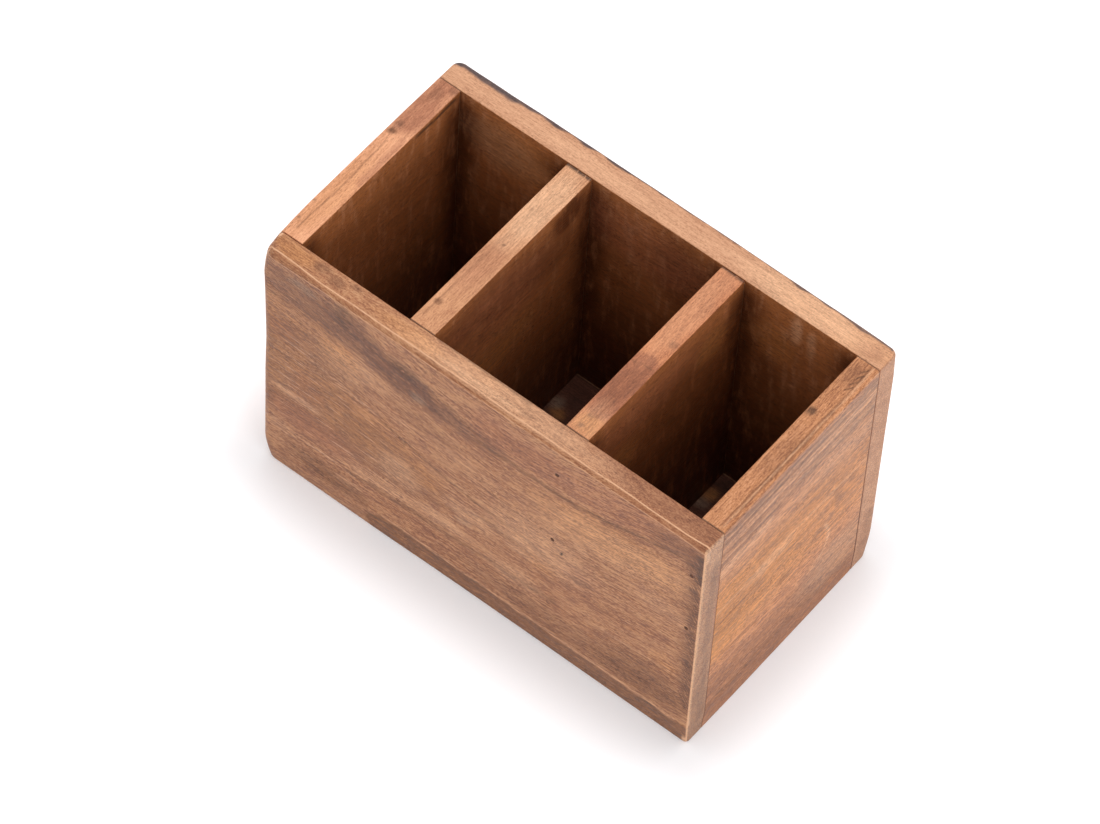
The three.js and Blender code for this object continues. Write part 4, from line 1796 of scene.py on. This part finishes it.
LEFT_END_MARKS: Marks = {
    Side.TOP: {
        Tint.FIGURE: (Blot(2, 56, 1.6, 1.2, 0.9), line(0.3, 0.5, (3.2, 12), (3.6, 34), (3, 52))),
        Tint.STREAK: (Blot(4, 74, 2.2, 2.4, 0.35), Blot(2, 59, 1.2, 1.3, 0.7), Blot(7, 78, 1.4, 1.4, 0.5)),
        Tint.GRIME: (Blot(0.5, 22.5, 0.6, 0.5, 0.5), Blot(1.2, 15, 0.6, 0.4, 0.5)),
        Tint.ORANGE: (Blot(4, 28, 3.5, 18, 0.3),),
        Tint.RUDDY: (line(4.6, 0.75, (4, 61), (4, 80)), line(1, 0.45, (6.9, 35), (6.9, 55))),
    },
    Side.RIGHT: {
        Tint.GRIME: (line(0.7, 0.8, (60, 102.2), (77, 102)),),
        # Painted shade: darker towards the foot of the wall and along its upright corners.
        Tint.DEEP: painted_wall_shade(42, 0.85, 8.4, 80.4),
    },
    Side.LEFT: {
        Tint.STREAK: (Blot(30, 92, 20, 8, 0.6), Blot(44, 12, 34, 9, 0.45)),
        Tint.RUDDY: (Blot(55, 50, 16, 9, 0.4),),
        Tint.PALE: (Blot(36, 66, 18, 6, 0.4),),
        Tint.FIGURE: (line(0.6, 0.5, (12, 38), (36, 41), (60, 36), (78, 37)),),
    },
}

RIGHT_END_MARKS: Marks = {
    Side.RIGHT: {
        Tint.DUST: (
            Trail(((4, 91, 16, 0.12), (40, 90, 16, 0.15), (60, 89, 16, 0.25), (84, 88, 16, 0.3)), blur=0.3),
            Blot(68, 22, 16, 10, 0.35),
        ),
        Tint.STREAK: (
            Trail(((6, 99, 4.5, 0.6), (30, 99, 4.5, 0.5), (82, 99, 3.5, 0.2))),
            Trail(((4, 19, 9, 0.55), (44, 18, 9, 0.45), (62, 17, 8, 0.3), (74, 17, 7, 0.1)), blur=0.5),
        ),
        Tint.FIGURE: (
            line(3, 0.25, (30, 68), (80, 67)),
            *(line(0.6, 0.75, (8, z), (44, z + 0.6), (80, z - 0.4)) for z in (100.5, 97.2, 91.6, 86.5)),
            line(7, 0.3, (6, 54), (26, 56)), line(3.2, 0.4, (8, 89), (50, 89.4), (80, 88.6)),
            # The wide band along the foot darkens it: painted shade.
            line(7.5, 0.55, (8, 6), (80, 6), blur=0.3), line(0.4, 0.8, (10, 54.2), (24, 53.6)),
            line(0.35, 0.5, (24, 53.6), (44, 55), (78, 53)), line(0.35, 0.45, (9, 66), (40, 68), (79, 66)),
            line(0.35, 0.45, (9, 73), (36, 74.5), (79, 72)), line(0.5, 0.6, (13, 36), (21, 33.5), (30, 32.5)),
            line(0.4, 0.6, (15, 31), (24, 29.5)), Blot(42, 41, 3.5, 1.6, 0.6), Blot(57, 45.5, 3.4, 2, 0.6),
            Blot(66.5, 57, 2, 6, 0.4), Blot(73, 58.5, 2.4, 1.3, 0.6), Blot(30, 46, 5, 1.2, 0.4),
        ),
        Tint.PALE: (
            *(line(0.35, 0.4, (8, z), (44, z + 0.6), (80, z - 0.4)) for z in (98.8, 95.4, 88.4)),
            line(0.4, 0.5, (8, 93.2), (44, 93.4), (80, 93)), line(2.6, 0.3, (8, 83), (30, 83.5)),
            line(0.4, 0.45, (9, 61), (40, 63), (79, 60.5)),
            line(0.6, 0.5, (60, 30), (63.5, 36), (63.8, 41), (61, 47)), Blot(34, 60, 10, 3, 0.35),
        ),
        Tint.ORANGE: (Trail(((4, 55, 20, 0.95), (36, 56, 19, 0.7), (84, 56, 17, 0.35)), blur=0.4),),
        Tint.RUDDY: (line(5.5, 0.25, (8, 5), (80, 5), blur=0.3),),
    },
    Side.TOP: {
        Tint.GRIME: (
            Blot(153.5, 56.5, 1.5, 1.5, 0.75),
            *(line(0.2, 0.7, (156.2, y), (157.6, y + 2.2)) for y in (68, 70.5, 73, 75.5)),
        ),
        Tint.RUDDY: (Blot(158, 12, 1, 1, 0.6),),
        Tint.STREAK: (Blot(156, 40, 3, 10, 0.3), Blot(155, 74, 3, 5, 0.35)),
        Tint.FIGURE: (
            line(0.3, 0.7, (157.4, 10), (157.9, 40), (157.5, 79)), line(0.25, 0.6, (158.7, 14), (158.8, 60)),
        ),
        Tint.PALE: (line(0.3, 0.5, (158.2, 10), (158.3, 79)),),
    },
    Side.LEFT: {
        # Painted shade: darker towards the foot of the wall and along its upright corners.
        Tint.DEEP: painted_wall_shade(46, 0.9, 8.4, 80.4),
    },
}

LEFT_DIVIDER_MARKS: Marks = {
    Side.TOP: {
        Tint.RUDDY: (Blot(52, 35, 4.5, 11, 0.4),),
        Tint.FIGURE: (Blot(50, 18, 1.3, 1.2, 0.9), line(0.3, 0.5, (49.6, 12), (50.1, 40), (49.8, 76))),
        Tint.GRIME: (Blot(52, 45, 0.5, 0.5, 0.7), line(0.6, 0.9, (47.5, 79.4), (56.9, 79.3))),
        Tint.PALE: (Blot(52, 62, 5, 16, 0.9),),
    },
    Side.RIGHT: {
        # Painted shade: darker patches, and darker towards the foot of the wall and along its upright corners.
        Tint.DEEP: (
            Blot(70, 97, 8, 7, 0.85), Blot(60, 88, 16, 10, 0.45), Blot(34, 92, 24, 12, 0.4),
            *painted_wall_shade(40, 0.9, 80.4),
        ),
        Tint.RUDDY: (Blot(34, 84, 26, 16, 0.4),),
        Tint.ORANGE: (Blot(34, 66, 18, 12, 0.4), Blot(22, 80, 10, 7, 0.35)),
    },
    Side.LEFT: {
        # Painted shade: darker towards the foot of the wall and along its upright corners.
        Tint.DEEP: painted_wall_shade(42, 0.85, 8.4, 80.4),
    },
}

RIGHT_DIVIDER_MARKS: Marks = {
    Side.TOP: {
        Tint.RUDDY: (line(5, 0.8, (107.9, 20), (107.9, 37), blur=0.25), Blot(108, 70, 4.2, 9, 0.2)),
        Tint.STREAK: (Blot(108, 28, 4, 8, 0.35), Blot(110, 49, 1.5, 1.3, 0.5)),
        Tint.PALE: (Blot(108, 14, 5, 7, 0.3), Blot(107, 60, 4, 20, 0.2)),
        Tint.ORANGE: (Blot(108, 12.5, 4, 4, 0.6),),
        Tint.FIGURE: (
            Blot(107, 15, 0.8, 0.7, 0.9), Blot(107, 11, 0.8, 0.7, 0.9), line(0.3, 0.5, (104, 37.6), (111.6, 38.6)),
        ),
        Tint.GRIME: (line(0.5, 0.8, (103.6, 79.4), (112.2, 79.3)),),
    },
    Side.RIGHT: {
        Tint.RUDDY: (Blot(34, 92, 24, 9, 0.35),),
        Tint.ORANGE: (Blot(26, 74, 6, 7, 0.3), Blot(66, 87, 6, 7, 0.4)),
        # Painted shade: a darker patch, and darker towards the foot of the wall and along its upright corners.
        Tint.DEEP: (Blot(50, 78, 18, 12, 0.4), *painted_wall_shade(66, 1, 8.4, 80.4)),
    },
    Side.LEFT: {
        # Painted shade: darker towards the foot of the wall and along its upright corners.
        Tint.DEEP: painted_wall_shade(46, 0.9, 8.4, 80.4),
    },
}

BOTTOM_MARKS: Marks = {
    Side.TOP: {
        Tint.DUST: (
            Blot(74, 30, 10, 8, 0.35), Blot(128, 26, 12, 8, 0.4), Blot(26, 40, 12, 14, 0.35),
            Blot(58.6, 67, 2, 2.2, 0.6), Blot(113.5, 67, 2.2, 2, 0.45),
        ),
        Tint.GRIME: (Blot(80, 44, 24, 30, 0.4), Blot(63, 71, 3, 3, 0.45), Blot(115, 76, 3, 3, 0.5)),
        Tint.ORANGE: (Blot(61, 64.5, 2.4, 1.8, 0.7), Blot(114, 71, 2, 2.6, 0.6)),
    },
}

# How far the glue lies under the rim where a joint has opened, in millimetres.
OPEN_JOINTS = {
    (Side.FRONT, "left_end"): 1.2, (Side.BACK, "left_divider"): 1.6, (Side.BACK, "right_divider"): 1.2,
}


@dataclass(frozen=True)
class SoftBox:
    """A square studio lamp: where it hangs, the length of its side, both in metres, and its power in watts."""

    name: str
    place: tuple[float, float, float]
    size: float
    watts: float


@dataclass
class Studio:
    """The photograph's viewpoint, a white floor with a shadow painted round the box, and soft light. The aim, the
    distance and the reach of the painted shadow are in millimetres, and the clip, the floor's half width and the
    lamps' aim in metres."""

    azimuth: float = 35.293
    elevation: float = 55.756
    roll: float = 4.048
    aim: tuple[float, float, float] = (-2.7, -6.8, 52.0)
    distance: float = 1886.1
    focal_length: float = 6532.2
    sensor_width: float = 36.0
    clip: tuple[float, float] = (0.05, 20.0)
    floor_half: float = 3.0
    room_light: float = 0.75
    lamp_aim: float = 0.05
    # The floor's glow next to the box and beyond the painted shadow's reach; the weaker glow next to the box is a
    # painted shadow.
    card_glow: tuple[float, float] = (0.19, 0.49)
    painted_shadow_reach: float = 28.0
    lamps: tuple[SoftBox, ...] = (
        SoftBox("soft_box_above", (0.0, 0.15, 1.5), 1.4, 8.2),
        SoftBox("soft_box_right", (1.4, -0.5, 0.35), 0.8, 5.8),
    )

    def camera(self) -> None:
        """Sets up the camera. The focal length is in pixels of the photograph's width."""
        data = bpy.data.cameras.new("camera")
        data.sensor_width = self.sensor_width
        data.lens = self.focal_length / PHOTO_WIDTH * self.sensor_width
        data.clip_start, data.clip_end = self.clip
        camera = put_in_scene("camera", data)
        turn = Euler((math.radians(90 - self.elevation), 0.0, math.radians(self.azimuth))).to_matrix()
        turn = turn @ Matrix.Rotation(math.radians(self.roll), 3, "Z")
        place = Vector(self.aim) / METRE + turn @ Vector((0.0, 0.0, self.distance / METRE))
        camera.matrix_world = Matrix.Translation(place) @ turn.to_4x4()
        bpy.context.scene.camera = camera

    def floor(self) -> None:
        """Lays the floor: white where the camera sees it, with the box's own shadow, and a shadow painted round the
        box where its glow is weaker.
        """
        half = self.floor_half
        mesh = bpy.data.meshes.new("floor")
        mesh.from_pydata([(-half, -half, 0), (half, -half, 0), (half, half, 0), (-half, half, 0)], [], [(0, 1, 2, 3)])
        floor = put_in_scene("floor", mesh)
        # Matt white card gives a clean pale ground with the box's soft shadow. Its glow is weaker next to the box,
        # which paints a shadow round it.
        material, tree = new_material("white_card")
        path = add(tree, "ShaderNodeLightPath")
        middle = add(tree, "ShaderNodeVectorMath", {"operation": "ABSOLUTE"}, {
            0: add(tree, "ShaderNodeTexCoord").outputs["Object"],
        })
        beyond = add(tree, "ShaderNodeVectorMath", {"operation": "SUBTRACT"}, {
            0: middle, 1: (*cad_box[1][:2], 0.0),
        })
        clear = add(tree, "ShaderNodeVectorMath", {"operation": "MAXIMUM"}, {0: beyond, 1: (0.0,) * 3})
        distance = add(tree, "ShaderNodeVectorMath", {"operation": "LENGTH"}, {0: clear})
        # The glow rises away from the box, which paints a shadow round it.
        rise = add(tree, "ShaderNodeMapRange", SMOOTHLY, {
            "Value": distance.outputs["Value"], "From Max": self.painted_shadow_reach / METRE,
            "To Min": self.card_glow[0], "To Max": self.card_glow[1],
        })
        seen = add(tree, "ShaderNodeMath", {"operation": "MAXIMUM"}, {
            0: path.outputs["Is Camera Ray"],
            1: add(tree, "ShaderNodeMath", {"operation": "MAXIMUM"}, {
                0: path.outputs["Is Glossy Ray"], 1: path.outputs["Is Transmission Ray"],
            }),
        })
        glow = add(tree, "ShaderNodeEmission", {}, {
            "Color": linear("#fdfdff"),
            "Strength": add(tree, "ShaderNodeMath", {"operation": "MULTIPLY"}, {0: seen, 1: rise}),
        })
        card = add(tree, "ShaderNodeBsdfDiffuse", {}, {"Color": linear("#e9e8ea")})
        both = add(tree, "ShaderNodeAddShader", {}, {0: card, 1: glow})
        add(tree, "ShaderNodeOutputMaterial", {}, {"Surface": both})
        mesh.materials.append(material)

    def lights(self) -> None:
        """Hangs the soft boxes and fills the room with white light."""
        world = bpy.data.worlds.new("white_room")
        bpy.context.scene.world = world
        tree = empty_tree(world)
        room = add(tree, "ShaderNodeBackground", {}, {"Color": linear("#ffffff"), "Strength": self.room_light})
        add(tree, "ShaderNodeOutputWorld", {}, {"Surface": room})
        for soft_box in self.lamps:
            data = bpy.data.lights.new(soft_box.name, "AREA")
            data.shape = "SQUARE"
            data.size = soft_box.size
            data.energy = soft_box.watts
            lamp = put_in_scene(soft_box.name, data)
            lamp.location = soft_box.place
            aim = Vector((0.0, 0.0, self.lamp_aim)) - lamp.location
            lamp.rotation_euler = aim.to_track_quat("-Z", "Y").to_euler()

    def build(self) -> None:
        """Sets the view, the floor, the light and the plain view transform."""
        bpy.context.scene.view_settings.view_transform = "Standard"
        self.camera()
        self.floor()
        self.lights()


def main() -> None:
    """Builds the box and its studio."""
    logging.basicConfig(level=logging.INFO, format="%(message)s")
    low, high = box_sizes()
    length, depth, height = high - low
    rounding = Rounding(length, depth, height)
    Studio().build()
    Walls(rounding, GLUE, open_joints=OPEN_JOINTS).build()
    Bottom(rounding, GLUE).build()
    Fixings(STEEL, STOPPING, WAX_AND_HOLE_SHADE).build()


if __name__ == "__main__":
    main()
